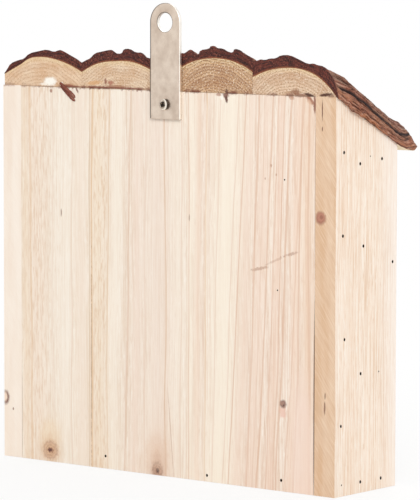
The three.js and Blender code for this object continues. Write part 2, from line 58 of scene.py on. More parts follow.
def limits(node):
    """A node's lowest and highest corners in millimetres."""
    low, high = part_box(node)
    return low / MM, high / MM


def linked(name, data):
    """A new object in the scene."""
    thing = bpy.data.objects.new(name, data)
    scene.collection.objects.link(thing)
    return thing


# Places that the pieces share, in millimetres, all read from the frame
SIDE_LOW, SIDE_HIGH = limits("side_board_left")
OUTER_X, INNER_X = -SIDE_LOW.x, -SIDE_HIGH.x
FRONT_Y, BACK_Y = SIDE_LOW.y, SIDE_HIGH.y
BACK_HEIGHT = SIDE_HIGH.z
SLAB_LOW, SLAB_HIGH = limits("roof_slab_1_wood")
ROOF_ANGLE = math.radians(26.2)


def roof_height(y):
    """Height of the roof plane, on which the slabs lie, at a depth y."""
    return BACK_HEIGHT - (BACK_Y - y) * math.tan(ROOF_ANGLE)


# Camera: the photograph's own place and lens, solved from the corners of the box
CAMERA_YAW = math.radians(38.937)
CAMERA_PITCH = math.radians(5.206)
CAMERA_ROLL = math.radians(0.108)
CAMERA_TARGET = Vector((-39.157, BACK_Y, 150.69))
CAMERA_DISTANCE = 2185.78
CAMERA_LENS = 244.76
SENSOR_WIDTH = 36


def place_camera():
    data = bpy.data.cameras.new("camera")
    data.lens = CAMERA_LENS
    data.sensor_width = SENSOR_WIDTH
    scene.camera = linked("camera", data)
    level = math.cos(CAMERA_PITCH)
    forward = Vector((math.sin(CAMERA_YAW) * level, -math.cos(CAMERA_YAW) * level, -math.sin(CAMERA_PITCH)))
    right = forward.cross(Vector((0, 0, 1))).normalized()
    up = right.cross(forward)
    rolled_right = right * math.cos(CAMERA_ROLL) + up * math.sin(CAMERA_ROLL)
    rolled_up = up * math.cos(CAMERA_ROLL) - right * math.sin(CAMERA_ROLL)
    turn = Matrix((rolled_right, rolled_up, -forward)).transposed()
    place = (CAMERA_TARGET - forward * CAMERA_DISTANCE) * MM
    scene.camera.matrix_world = Matrix.Translation(place) @ turn.to_4x4()


place_camera()
scene.view_settings.view_transform = "Standard"


# Nodes and colours
def linear(code):
    """An sRGB hex colour as linear RGBA."""
    channels = [int(code[i:i + 2], 16) / 255 for i in (1, 3, 5)]
    return [c / 12.92 if c <= 0.04045 else ((c + 0.055) / 1.055) ** 2.4 for c in channels] + [1.0]


def live_output(node):
    """A node's first output in use."""
    return next(output for output in node.outputs if output.enabled)


# Settings that every node of these kinds has here
USUAL = {"Mix": {"data_type": "RGBA"}, "Mapping": {"vector_type": "TEXTURE"}}


def add(tree, kind, inputs=(), stops=(), **settings):
    """Adds one node with its settings. The kind may be followed by the node's operation. Its
    inputs come in order or by name, and each is a value, a colour code, a socket, or a node
    whose first output in use is taken."""
    kind, _, operation = kind.partition(" ")
    new = tree.nodes.new("ShaderNode" + kind)
    if operation:
        new.operation = operation
    for key, value in {**USUAL.get(kind, {}), **settings}.items():
        setattr(new, key, value)
    sockets = [socket for socket in new.inputs if socket.enabled]
    for key, value in inputs.items() if isinstance(inputs, dict) else enumerate(inputs):
        socket = sockets[key] if isinstance(key, int) else next(s for s in sockets if s.name == key)
        if isinstance(value, bpy.types.Node):
            value = live_output(value)
        if isinstance(value, bpy.types.NodeSocket):
            tree.links.new(value, socket)
        else:
            socket.default_value = linear(value) if isinstance(value, str) else value
    for count, (place, colour) in enumerate(stops):
        elements = new.color_ramp.elements
        if count == 0:
            elements.remove(elements[1])
        element = elements[0] if count == 0 else elements.new(place)
        element.position = place
        element.color = linear(colour) if isinstance(colour, str) else (colour,) * 3 + (1,)
    return new


def pattern(tree, place, size_mm, detail, roughness=0.5, start=STILL, turn=STILL):
    """An uneven pattern whose patches have a real size along X, Y and Z."""
    spot = add(tree, "Mapping", [place, start, turn, mm(*size_mm)])
    return add(tree, "TexNoise", [spot, 1.0, detail, roughness])


def tinted(tree, colour, *layers):
    """A colour with tints laid over it in turn. Each layer is a pattern, its values where the
    tint starts and where it is full, the full tint's share, and the tint."""
    for source, start, full, share, tint in layers:
        mask = add(tree, "MapRange", [source, start, full, 0.0, share])
        colour = add(tree, "Mix", [mask, colour, tint])
    return colour


WOOD_IOR = 1.5


def new_material(name, roughness, metallic=0.0):
    """A material with one Principled shader, its nodes, and its object coordinates and normals."""
    material = bpy.data.materials.new(name)
    material.use_nodes = True
    tree = material.node_tree
    shader = tree.nodes["Principled BSDF"].inputs
    shader["Roughness"].default_value = roughness
    shader["Metallic"].default_value = metallic
    if not metallic:
        shader["IOR"].default_value = WOOD_IOR
    coordinates = add(tree, "TexCoord").outputs
    return material, tree, coordinates["Object"], coordinates["Normal"]


def finish_material(material, colour, height, depth_mm):
    """Links the colour, and a bump of a real depth from a height between 0 and 1."""
    tree = material.node_tree
    shader = tree.nodes["Principled BSDF"].inputs
    tree.links.new(live_output(colour), shader["Base Color"])
    bump = add(tree, "Bump", {"Height": height, "Strength": 1.0, "Distance": depth_mm * MM})
    tree.links.new(live_output(bump), shader["Normal"])
    return material


# Sawn and planed fir: pale and matt, with straight annual rings that show as fine lines
def sawn_fir(name, pale, dark, line, grain=(0, 0, 1), ring_mm=9.0, line_share=0.5, seed=0.0,
             stripes=(), stains=(), knots=(), rear_edge=None, sapwood=False, torn_top_and_crack_shade=0.0):
    """grain is the board's long axis. Stripes, stains and knots lie in X and Z."""
    material, tree, place, normal = new_material(name, roughness=0.62)
    start = mm(*(seed * 40,) * 3)

    def along_grain(place, along, across, detail, roughness=0.5):
        size = [along if axis else across for axis in grain]
        return pattern(tree, place, size, detail, roughness, start)

    # The grain wanders a few millimetres
    wander = along_grain(place, 150, 26, 2.0).outputs["Color"]
    centred = add(tree, "VectorMath SUBTRACT", [wander, (0.5, 0.5, 0.5)])
    drift = add(tree, "VectorMath SCALE", {"Vector": centred, "Scale": 7 * MM})
    bent = add(tree, "VectorMath ADD", [place, drift])
    # Fibres are about 0.05 mm wide: drawn at 0.8 mm so that they show. Torn grain is about 8 mm.
    rings = along_grain(bent, ring_mm * 90, ring_mm, 1.0)
    bands = along_grain(bent, 700, 13, 3.0, 0.6)
    patches = along_grain(bent, 70, 18, 3.0)
    fibres = along_grain(bent, 45, 0.8, 2.0, 0.6)
    torn = along_grain(bent, 8, 1.2, 2.0, 0.6)
    # Each annual ring darkens slowly to its late wood and ends sharply
    ring = add(tree, "Math FRACT", [add(tree, "Math MULTIPLY", [rings, 8.0])])
    late = add(tree, "ValToRGB", [ring], [(0.0, 0.0), (0.5, 0.08), (0.88, 1.0), (0.94, 1.0), (1.0, 0.0)])
    faded = add(tree, "MapRange", [patches, 0.35, 0.65, line_share * 0.35, line_share])
    ringed = add(tree, "Math MULTIPLY", [late, faded])
    colour = tinted(tree, pale, (bands, 0.36, 0.66, 1.0, dark), (ringed, 0.0, 1.0, 1.0, line),
                    (fibres, 0.5, 0.72, 0.6, line), (fibres, 0.5, 0.3, 0.4, "#fffaf2"),
                    (torn, 0.57, 0.72, 0.45, line), (torn, 0.43, 0.28, 0.45, "#fffaf2"))
    axes = add(tree, "SeparateXYZ", [bent]).outputs
    if sapwood:
        colour = tinted(tree, colour, (axes["Y"], *mm(-12, FRONT_Y), 0.65, "#fdf4ec"))
    for stripe in stripes:
        colour = lay_stripe(tree, axes, torn, colour, *stripe)
    if rear_edge:
        colour = lay_rear_edge(tree, place, normal, colour, *rear_edge)
    for knot in knots:
        colour = lay_knot(tree, place, colour, *knot)
    for stain in stains:
        colour = lay_stain(tree, place, colour, *stain)
    if torn_top_and_crack_shade:
        # The saw tore the top edge: dark torn fibres, with painted shade of the crack below the slabs laid
        # over them
        colour = lay_torn_edge_and_crack_shade(tree, place, colour, BACK_HEIGHT - 1.2, BACK_HEIGHT - 0.3, "#8a5441", torn_top_and_crack_shade)
    return finish_material(material, colour, fibres, depth_mm=0.1)


# How deep a mark on the back face reaches into the wood, and how far the ragged edge of torn fibres and
# painted crack shade strays
MARK_DEPTH = 8
TORN_REACH = 4.0


def lay_stripe(tree, axes, torn, colour, top_x, bottom_x, width, tint, strength, soft=0.6, torn_only=False):
    """One grain stripe, from its place at the top edge to that at the bottom of the back face."""
    down = add(tree, "MapRange", [axes["Z"], BACK_HEIGHT * MM, 0.0, *mm(top_x, bottom_x)])
    off = add(tree, "Math ABSOLUTE", [add(tree, "Math SUBTRACT", [axes["X"], down])])
    reach = mm(width * (0.5 + soft * 0.5), width * (0.5 - soft * 0.5))
    mask = add(tree, "MapRange", [off, *reach, 0.0, strength])
    if torn_only:
        mask = add(tree, "Math MULTIPLY", [mask, add(tree, "MapRange", [torn, 0.5, 0.62])])
    return add(tree, "Mix", [mask, colour, tint])


def lay_torn_edge_and_crack_shade(tree, place, colour, faint_z, full_z, tint, strength):
    """Dark torn fibres, with painted shade of a crack laid over them, along a level edge: they start at
    faint_z and are full at full_z.
    """
    ragged = pattern(tree, place, (2.2, 9, 2.2), 4.0, 0.7)
    shift = add(tree, "Math MULTIPLY_ADD", [ragged, TORN_REACH * MM, -0.5 * TORN_REACH * MM])
    at = add(tree, "SeparateXYZ", [place]).outputs
    height = add(tree, "Math MULTIPLY_ADD", [shift, math.copysign(1.0, full_z - faint_z), at["Z"]])
    share = add(tree, "MapRange", [height, *mm(faint_z, full_z), 0.0, strength])
    patchy = add(tree, "MapRange", [pattern(tree, place, (9, 60, 60), 3.0, 0.6), 0.42, 0.54])
    shallow = add(tree, "Math GREATER_THAN", [at["Y"], (BACK_Y - MARK_DEPTH) * MM])
    for limit in (patchy, shallow):
        share = add(tree, "Math MULTIPLY", [share, limit])
    return add(tree, "Mix", [share, colour, tint])


def oval_reach(tree, place, x, z, width, height, tilt=0):
    """How far a point is from the middle of an oval on the back face, with 1 at its edge."""
    turn = (0, math.radians(tilt), 0)
    oval = add(tree, "Mapping", [place, mm(x, BACK_Y, z), turn, mm(width / 2, MARK_DEPTH, height / 2)])
    return add(tree, "VectorMath LENGTH", [oval])


def lay_stain(tree, place, colour, x, z, width, height, tint, strength, tilt=0, ragged=1.5):
    """One oval stain, turned by a tilt in degrees: torn fibres, resin, a smear or a slit. ragged
    is how much its edge breaks up, as a share of its half width."""
    reach = oval_reach(tree, place, x, z, width, height, tilt)
    away = add(tree, "Math MULTIPLY_ADD", [pattern(tree, place, (1.6, 40, 2.4), 4.0, 0.7), ragged, reach])
    return tinted(tree, colour, (away, 1.1 + ragged / 2, 0.6 + ragged / 2, strength, tint))


def lay_knot(tree, place, colour, x, z, width, height, tint, core, halo, strength=1.0):
    """One knot: a dark heart, soft dotted rings about it, and a stained halo."""
    reach = oval_reach(tree, place, x, z, width, height)
    away = add(tree, "Math MULTIPLY_ADD", [pattern(tree, place, (1.5, 40, 2.2), 4.0, 0.7), 0.9, reach])
    away = add(tree, "Math MULTIPLY_ADD", [away, 0.4, -0.18])
    rings = add(tree, "ValToRGB", [away], [
        (0.0, core), (0.06, core), (0.12, tint), (0.18, halo), (0.23, tint), (0.27, halo), (0.34, tint),
        (0.42, halo)])
    fading = ((0.0, 1.0), (0.12, 1.0), (0.3, 0.85), (0.42, 0.6), (0.55, 0.2), (0.9, 0.0))
    mask = add(tree, "ValToRGB", [away], [(stop, strength * share) for stop, share in fading])
    return add(tree, "Mix", [mask, colour, rings])


def lay_rear_edge(tree, place, normal, colour, pale, tint, line, ring_share):
    """The narrow rear edge of a side board, with fine rings that cross it on a slant."""
    rings = pattern(tree, place, (0.7, 60, 12), 3.0, 0.6, turn=(0, math.radians(34), 0))
    soft = pattern(tree, place, (8, 60, 60), 3.0)
    rear = tinted(tree, pale, (soft, 0.36, 0.64, 1.0, tint), (rings, 0.46, 0.72, ring_share, line),
                  (rings, 0.5, 0.28, ring_share, "#fbeedd"))
    facing = add(tree, "SeparateXYZ", [normal]).outputs["Y"]
    return add(tree, "Mix", [add(tree, "Math GREATER_THAN", [facing, 0.6]), colour, rear])


# A scale that takes depth away, so that a distance counts in X and Z only
FLAT = (1, 1000, 1)


# Sawn end grain: fine growth rings round the log's heart, roughened by the saw into light and
# dark flecks, with paler sapwood next to the bark
def end_grain(name, pale, dark, ring, sap, heart_x, heart_z, ring_mm=1.7, ring_share=0.5, speck_share=0.8,
              seed=0.0, stains=(), rim=None, torn_foot_and_crack_shade=0.0):
    """rim is the branch's radius under its bark and the bark's colour."""
    material, tree, place, normal = new_material(name, roughness=0.78)
    centred = add(tree, "Mapping", [place, mm(heart_x, 0, heart_z), STILL, FLAT])
    reach = add(tree, "VectorMath LENGTH", [centred])
    wobble = pattern(tree, place, (18, 200, 18), 3.0, start=mm(seed * 30, 0, 0))
    radius = add(tree, "Math MULTIPLY_ADD", [wobble, 6 * MM, reach])
    # Late wood of each ring, and a slower change from one run of years to the next
    phase = add(tree, "Math FRACT", [add(tree, "Math MULTIPLY", [radius, 1 / (ring_mm * MM)])])
    late = add(tree, "ValToRGB", [phase], [(0.0, 0.0), (0.45, 0.1), (0.82, 1.0), (0.92, 1.0), (1.0, 0.0)])
    run = add(tree, "Math MULTIPLY", [radius, 1 / (6 * MM)])
    years = add(tree, "TexNoise", [run, 1.0, 2.0], noise_dimensions="1D")
    patches = pattern(tree, place, (14, 30, 8), 3.0, start=mm(0, 0, seed * 30))
    # Torn fibres are about 0.5 mm: drawn at 1.1 mm so that they show
    flecks = pattern(tree, place, (1.1, 1.1, 0.9), 3.0, 0.75)
    broken = add(tree, "MapRange", [flecks, 0.62, 0.46, 0.0, ring_share])
    ringed = add(tree, "Math MULTIPLY", [late, broken])
    near_bark = add(tree, "Attribute", attribute_name="near_bark").outputs["Fac"]
    colour = tinted(tree, pale, (patches, 0.34, 0.66, 1.0, dark),
                    (years, 0.45, 0.62, ring_share * 0.35, ring), (near_bark, 0.8, 1.0, 0.7, sap),
                    (flecks, 0.55, 0.66, speck_share, "#f8eedd"),
                    (flecks, 0.45, 0.34, speck_share, ring), (ringed, 0.0, 1.0, 1.0, ring))
    # The flat sawn side of a half log is long grain, paler than its end, and its pale colour is also painted
    # light on this underside, which faces down into shade
    facing = add(tree, "SeparateXYZ", [normal]).outputs["Z"]
    colour = add(tree, "Mix", [add(tree, "Math LESS_THAN", [facing, -0.6]), colour, "#f8e8cc"])
    # Torn fibres at the foot of the slab end, with painted shade of the crack above the panel
    if torn_foot_and_crack_shade:
        colour = lay_torn_edge_and_crack_shade(tree, place, colour, BACK_HEIGHT + 1.8, BACK_HEIGHT + 0.8, "#7a4636",
                               torn_foot_and_crack_shade)
    for stain in stains:
        colour = lay_stain(tree, place, colour, *stain)
    if rim:
        edge_mm, bark = rim
        colour = tinted(tree, colour, (reach, *mm(edge_mm, edge_mm + 0.6), 1.0, bark))
    return finish_material(material, colour, flecks, depth_mm=0.3)


# Conifer bark: reddish-brown plates with a grey bloom, near-black fissures and orange inner bark. The
# fissures' dark is partly their own colour and partly painted shade. The mesh's own marks say where a
# point lies on the bark as it would unroll, how dark a fissure or hollow makes it, how near it is to the
# wood, and whether it was sawn.
def furrowed_bark(name, plate, bloom, fissure, inner, sawn, sawn_pale):
    material, tree, _, _ = new_material(name, roughness=0.85)
    girth, run, rise, depth, nearness, cut_face = (
        add(tree, "Attribute", attribute_name=mark).outputs["Fac"]
        for mark in ("girth", "run", "rise", "depth", "inner", "cut"))
    # Each pattern has its size round the log, down the slope and through the bark
    unrolled = add(tree, "CombineXYZ", [girth, run, rise])
    streaks = pattern(tree, unrolled, (1.0, 11, 1.0), 4.0, 0.7)
    plates = pattern(tree, unrolled, (5, 40, 5), 3.0, 0.6)
    layers = pattern(tree, unrolled, (6, 6, 0.8), 4.0, 0.75)
    grains = pattern(tree, unrolled, (0.9, 0.9, 0.9), 3.0, 0.75)
    patchy = add(tree, "Math MULTIPLY", [nearness, add(tree, "MapRange", [plates, 0.4, 0.62, 0.25, 1.0])])
    face = tinted(tree, plate, (plates, 0.4, 0.6, 1.0, bloom), (patchy, 0.0, 1.0, 1.0, inner),
                  (streaks, 0.48, 0.34, 0.9, fissure), (streaks, 0.54, 0.68, 0.75, "#d6b19c"),
                  (grains, 0.45, 0.32, 0.7, fissure), (grains, 0.58, 0.72, 0.6, "#e0b8a4"))
    end = tinted(tree, sawn, (layers, 0.45, 0.68, 1.0, sawn_pale), (layers, 0.48, 0.36, 0.95, fissure),
                 (grains, 0.54, 0.68, 0.8, "#a8644f"), (nearness, 0.5, 1.0, 0.7, inner))
    colour = add(tree, "Mix", [cut_face, face, end])
    # Fissures and hollows take the fissure colour: the bark's own dark with painted shade in them
    colour = add(tree, "Mix", [depth, colour, fissure])
    return finish_material(material, colour, streaks, depth_mm=0.6)


# Zinc-plated steel, tumbled matt: warm grey with cloudy patches, and where a piece asks for them, rims of
# painted highlight and painted shade and a painted contact shadow on its side walls
def zinc_plate(name, bright, dull, roughness=0.42, cloud_mm=(7, 9, 9), edges=(), contact_shadow_y=None):
    """Each of edges is a centre in X and Z, whether the reach below it counts along X only, the
    reach in millimetres where a tint starts and where it is full, the tint, and its share. Each such rim
    is painted light: a painted highlight where its tint is pale, painted shade where it is dark.
    Behind a given depth the side walls are darkened: a painted contact shadow of the gap behind the plate."""
    material, tree, place, normal = new_material(name, roughness, metallic=1.0)
    clouds = pattern(tree, place, cloud_mm, 4.0, 0.6)
    # Tumbling marks are about 0.1 mm: drawn at 0.8 mm so that they show
    marks = pattern(tree, place, (0.8, 0.8, 0.8), 3.0, 0.6)
    colour = tinted(tree, bright, (clouds, 0.35, 0.68, 1.0, dull), (marks, 0.55, 0.75, 0.4, dull))
    # Painted contact shadow: the rear of the side walls darkens where the gap behind the plate is in shade
    if contact_shadow_y:
        depth = add(tree, "SeparateXYZ", [place]).outputs["Y"]
        share = add(tree, "MapRange", [depth, *mm(contact_shadow_y + 0.2, contact_shadow_y), 0.0, 0.9])
        facing = add(tree, "Math ABSOLUTE", [add(tree, "SeparateXYZ", [normal]).outputs["Y"]])
        wall = add(tree, "Math LESS_THAN", [facing, 0.9])
        colour = add(tree, "Mix", [add(tree, "Math MULTIPLY", [share, wall]), colour, "#473b33"])
    # Rims of painted highlight and painted shade, one for each of edges
    for x, z, straight, start, full, tint, strength in edges:
        centred = add(tree, "Mapping", [place, mm(x, 0, z), STILL, FLAT])
        if straight:
            parts = add(tree, "SeparateXYZ", [centred]).outputs
            upper = add(tree, "Math MAXIMUM", [parts["Z"], 0.0])
            centred = add(tree, "CombineXYZ", [parts["X"], 0.0, upper])
        reach = add(tree, "VectorMath LENGTH", [centred])
        colour = tinted(tree, colour, (reach, *mm(start, full), strength, tint))
    return finish_material(material, colour, marks, depth_mm=0.03)


# Dry bamboo: a hard straw-coloured skin, and a sawn end with dark strands that crowd to the skin
def dry_bamboo(name, skin, skin_dark, end, strand):
    material, tree, place, _ = new_material(name, roughness=0.5)
    radial, cut_face = (
        add(tree, "Attribute", attribute_name=mark).outputs["Fac"] for mark in ("radial", "cut"))
    fibres = pattern(tree, place, (0.8, 30, 0.8), 3.0)
    tones = pattern(tree, place, (18, 60, 18), 2.0)
    strands = pattern(tree, place, (0.9, 6, 0.9), 2.0, 0.7)
    outside = tinted(tree, skin, (tones, 0.35, 0.65, 1.0, skin_dark), (fibres, 0.45, 0.75, 0.5, strand))
    crowded = add(tree, "Math MULTIPLY_ADD", [radial, 0.16, strands])
    sawn = tinted(tree, end, (crowded, 0.55, 0.68, 0.75, strand), (radial, 0.88, 1.0, 0.8, skin_dark))
    return finish_material(material, add(tree, "Mix", [cut_face, outside, sawn]), fibres, depth_mm=0.08)


# Pine cone scale: dull brown, greyer and paler on the thick end, with a dark raised middle
def cone_scale_wood(name, root, tip, umbo):
    material, tree, place, _ = new_material(name, roughness=0.7)
    tipness = add(tree, "Attribute", attribute_name="tip").outputs["Fac"]
    mottle = pattern(tree, place, (2.5, 2.5, 2.5), 4.0, 0.6)
    colour = tinted(tree, root, (tipness, 0.35, 0.8, 1.0, tip), (mottle, 0.5, 0.32, 0.6, umbo),
                    (tipness, 0.9, 0.98, 0.85, umbo))
    return finish_material(material, colour, mottle, depth_mm=0.4)


# Mesh helpers
def new_piece(name, mesh, material, body="box", replaced=(), smooth=35):
    """Links a mesh as a piece that rides on a body, with its finish and the nodes it stands for."""
    piece = linked(name, mesh)
    mesh.materials.clear()
    mesh.materials.append(material)
    mesh.polygons.foreach_set("use_smooth", [True] * len(mesh.polygons))
    mesh.set_sharp_from_angle(angle=math.radians(smooth))
    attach(piece, body)
    if replaced:
        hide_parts(*replaced)
    return piece


def closed_mesh(points, faces, marks=None):
    """A mesh from points in millimetres, with its faces turned outward and its marks."""
    mesh = bpy.data.meshes.new("mesh")
    mesh.from_pydata([Vector(point) * MM for point in points], [], faces)
    for name, values in (marks or {}).items():
        mesh.attributes.new(name, "FLOAT", "POINT").data.foreach_set("value", values)
    work = bmesh.new()
    work.from_mesh(mesh)
    bmesh.ops.recalc_face_normals(work, faces=work.faces)
    work.to_mesh(mesh)
    work.free()
    return mesh


def shell(place, across, along, deep, marks):
    """A closed mesh over the six faces of a grid. place gives a point for shares across, along
    and deep, and each of marks gives a value between 0 and 1 for the same shares."""
    found, faces = {}, []

    def quad(*keys):
        faces.append([found.setdefault(key, len(found)) for key in keys])

    for j in range(along):
        for i in range(across):
            quad((i, j, deep), (i + 1, j, deep), (i + 1, j + 1, deep), (i, j + 1, deep))
            quad((i, j + 1, 0), (i + 1, j + 1, 0), (i + 1, j, 0), (i, j, 0))
    for k in range(deep):
        for i in range(across):
            quad((i, 0, k), (i + 1, 0, k), (i + 1, 0, k + 1), (i, 0, k + 1))
            quad((i + 1, along, k), (i, along, k), (i, along, k + 1), (i + 1, along, k + 1))
        for j in range(along):
            quad((0, j + 1, k), (0, j, k), (0, j, k + 1), (0, j + 1, k + 1))
            quad((across, j, k), (across, j + 1, k), (across, j + 1, k + 1), (across, j, k + 1))
    shares = [(i / across, j / along, k / deep) for i, j, k in found]
    values = {name: [value(*share) for share in shares] for name, value in marks.items()}
    return closed_mesh([place(*share) for share in shares], faces, values)


def lofted(bodies, marks=None):
    """A closed mesh of bodies, each a list of rings of points that faces join in turn. An end
    ring is a single point or gets a flat cap. Each of marks has one value for each point."""
    points, faces = [], []
    for rings in bodies:
        numbered = []
        for ring in rings:
            numbered.append(range(len(points), len(points) + len(ring)))
            points += ring
        for upper, lower in zip(numbered, numbered[1:]):
            for side in range(max(len(upper), len(lower))):
                corners = [upper[side % len(upper)], upper[(side + 1) % len(upper)],
                           lower[(side + 1) % len(lower)], lower[side % len(lower)]]
                faces.append(list(dict.fromkeys(corners)))
        faces += [list(ring) for ring in (numbered[0], numbered[-1]) if len(ring) > 1]
    return closed_mesh(points, faces, marks)


def turns(sides):
    """Evenly spaced angles of a full turn."""
    return [2 * math.pi * side / sides for side in range(sides)]


def revolve(profile, sides, centre, wobble=0.0, seed=0, marks=None):
    """Turns a profile of (radius, depth) about the Y axis through centre. It starts and ends on
    the axis. Each of marks has one value for each point of the profile."""
    rings, values = [], {name: [] for name in marks or {}}
    for index, (radius, y) in enumerate(profile):
        ring = []
        for angle in turns(sides if radius else 1):
            flat = Vector((math.cos(angle), math.sin(angle), seed * 3.1))
            reach = radius * (1 + wobble * noise.noise(flat))
            ring.append((centre[0] + reach * math.cos(angle), y, centre[1] + reach * math.sin(angle)))
        rings.append(ring)
        for name in values:
            values[name] += [marks[name][index]] * len(ring)
    return lofted([rings], values)


def prism(outline, low_y, high_y):
    """A plate with an outline in X and Z."""
    return lofted([[[(x, y, z) for x, z in outline] for y in (low_y, high_y)]])


def rod(x, z, radius, low_y, high_y, sides=32):
    """A round rod along Y, which cuts a hole."""
    return revolve([(0, low_y), (radius, low_y), (radius, high_y), (0, high_y)], sides, (x, z))


def cut(mesh, tools):
    """The mesh with every tool cut out of it."""
    body = linked("body", mesh)
    cutters = [linked("cutter", tool) for tool in tools]
    for cutter in cutters:
        step = body.modifiers.new("cut", "BOOLEAN")
        step.object = cutter
        step.solver = "EXACT"
    bpy.context.view_layer.update()
    result = bpy.data.meshes.new_from_object(body.evaluated_get(bpy.context.evaluated_depsgraph_get()))
    for spare in (body, *cutters):
        bpy.data.objects.remove(spare)
    return result


def soften(piece, edge_mm, angle=40):
    edge = piece.modifiers.new("softened_edges", "BEVEL")
    edge.width = edge_mm * MM
    edge.segments = 2
    edge.limit_method = "ANGLE"
    edge.angle_limit = math.radians(angle)


def arc(x, z, radius, start, end, steps):
    """Points of an arc in X and Z, between angles in degrees."""
    angles = [math.radians(start + (end - start) * i / steps) for i in range(steps + 1)]
    return [(x + radius * math.cos(a), z + radius * math.sin(a)) for a in angles]


def along_outline(outline, share):
    """The point at a share of an outline's length, with straight runs between its points."""
    lengths = [math.dist(a, b) for a, b in zip(outline, outline[1:])]
    left = share * sum(lengths)
    for a, b, length in zip(outline, outline[1:], lengths):
        if left <= length:
            part = left / length
            return a[0] + (b[0] - a[0]) * part, a[1] + (b[1] - a[1]) * part
        left -= length
    return outline[-1]


def rounded(outline, rounds):
    """The outline with its corners cut, so that it runs round."""
    for _ in range(rounds):
        line = [outline[0]]
        for a, b in zip(outline, outline[1:]):
            for near in (0.75, 0.25):
                line.append((a[0] * near + b[0] * (1 - near), a[1] * near + b[1] * (1 - near)))
        outline = line + [outline[-1]]
    return outline


# Roof slabs. Tones are the wood's pale, dark and ring colours, and heart is the middle of its rings
# in X and Z. Each outline runs across the slab's rear end as (x, height over the roof plane) in
# millimetres, from -X to +X: the wood's arch, and the bark's outer surface.
SLABS = {
    1: {"tones": ("#e9cfb3", "#d6b190", "#a37856"), "heart": (-105, 228), "saw": {
        "ring_mm": 1.9, "ring_share": 0.7, "speck_share": 0.7, "torn_foot_and_crack_shade": 0.6, "stains": [
            (-107.5, 254.2, 8, 4, "#8f5f45", 0.8), (-118.8, 252.6, 9, 2.4, "#4f2c20", 0.95, -13),
            (-131.5, 253.2, 12, 2.4, "#4f2c20", 0.95, 7)]},
        "wood": [
            (-139.5, 0.5), (-134.9, 5.2), (-129, 9.9), (-122.9, 13.6), (-115.7, 16.2), (-106, 17.5),
            (-95, 17.1), (-86.6, 15.6), (-79.2, 13.2), (-73.2, 10.7)],
        "bark": [
            (-142.4, -1.2), (-143.2, 5.0), (-141.4, 11.5), (-137.8, 16.2), (-134.0, 19.0), (-128, 19.6),
            (-125.6, 20.6), (-120.5, 20.0), (-113.3, 22.7), (-105.4, 25.4), (-97.6, 25.1), (-93.2, 22.9),
            (-88.6, 22.9), (-84.1, 21.7), (-80.2, 22.2), (-77.4, 21.2), (-73.2, 20.8)]},
    2: {"tones": ("#dab58e", "#c2966e", "#8a5c3e"), "heart": (-42, 224), "saw": {
        "ring_mm": 1.9, "ring_share": 0.85, "speck_share": 0.85, "torn_foot_and_crack_shade": 0.9, "stains": [
            (-52.2, 253.2, 3, 3, "#5d3a2e", 0.8)]},
        "wood": [
            (-73.0, 13.8), (-69.3, 16.0), (-64.3, 18.2), (-55.6, 20.9), (-46.9, 21.9), (-39.4, 22.0),
            (-29.3, 20.8), (-21.7, 18.6), (-15.3, 15.7), (-9, 13.0), (-4.1, 10.5)],
        "bark": [
            (-73.0, 22.6), (-70.6, 24.0), (-65.9, 25.2), (-64.3, 27.3), (-58.3, 28.6), (-57.1, 25.6),
            (-52.4, 26.6), (-49.4, 28.3), (-43.6, 28.5), (-42.6, 29.9), (-38.6, 29.6), (-38.0, 27.9),
            (-30.3, 26.9), (-29.0, 23.9), (-26.1, 24.4), (-24.4, 26.6), (-21.7, 27.2), (-17.3, 24.4),
            (-15.3, 24.8), (-9, 21.8), (-6.8, 22.0), (-4.1, 18.0)]},
    3: {"tones": ("#ecd3b6", "#dcb996", "#a97b58"), "heart": (34, 221), "saw": {
        "ring_mm": 1.7, "ring_share": 0.5, "speck_share": 0.6, "torn_foot_and_crack_shade": 0.9, "stains": [
            (59.4, 255.4, 15, 3.2, "#d9a570", 0.7, 6), (49.7, 256.8, 2.6, 4.2, "#8a4c38", 0.8),
            (45.2, 255.8, 5.5, 3.2, "#a8604a", 0.75), (40, 253.6, 22, 2, "#a06a50", 0.7),
            (42, 252.6, 66, 1.5, "#7d4535", 0.85, 0, 1.2)]},
        "wood": [
            (-3.9, 8.5), (3, 10.9), (11.2, 13.4), (20.3, 16.6), (27.2, 18.1), (34, 18.6), (44.4, 18.0),
            (52.5, 17.2), (59.5, 15.4), (64.1, 13.5), (70.5, 10.2)],
        "bark": [
            (-3.9, 16.5), (3, 18.5), (6.6, 20.6), (11.2, 20.5), (15.8, 21.5), (17.9, 24.3), (23.7, 24.1),
            (28.6, 26.5), (34.2, 26.2), (35.6, 23.1), (40.9, 23.1), (43.4, 25.3), (46.2, 25.4),
            (52.5, 24.2), (58.9, 23.0), (63.2, 19.3), (66.5, 18.2), (70.5, 16.4)]},
    4: {"tones": ("#efd4b6", "#dfb893", "#b68862"), "heart": (106, 222), "saw": {
        "ring_mm": 2.4, "ring_share": 0.45, "speck_share": 0.4, "torn_foot_and_crack_shade": 0.3, "stains": [
            (98.3, 255.4, 12.5, 6.4, "#fffaf0", 1.0, 0, 1.0), (104, 253.4, 8, 2.4, "#fff7ea", 0.8),
            (82, 253.2, 9, 2, "#a5694f", 0.85), (88, 254, 3, 2.5, "#fff7ea", 0.8),
            (80, 252.5, 22, 1.3, "#7d4535", 0.85, 0, 1.2)]},
        "wood": [
            (70.6, 10.3), (78.2, 13.9), (88.8, 17.1), (96, 18.6), (103.1, 19.5), (112.7, 19.3),
            (119.2, 17.4), (123.6, 14.4), (130.8, 11.2), (139.1, 7.4)],
        "bark": [
            (70.6, 16.6), (74.7, 18.8), (80.6, 21.2), (85.3, 23.2), (88.8, 24.4), (91.2, 24.1),
            (94.7, 22.9), (101.3, 24.5), (107.9, 23.3), (116.9, 21.6), (122.0, 17.6), (126, 17.0),
            (133.9, 14.5), (137.4, 9.9), (139.6, 7.6)]},
}
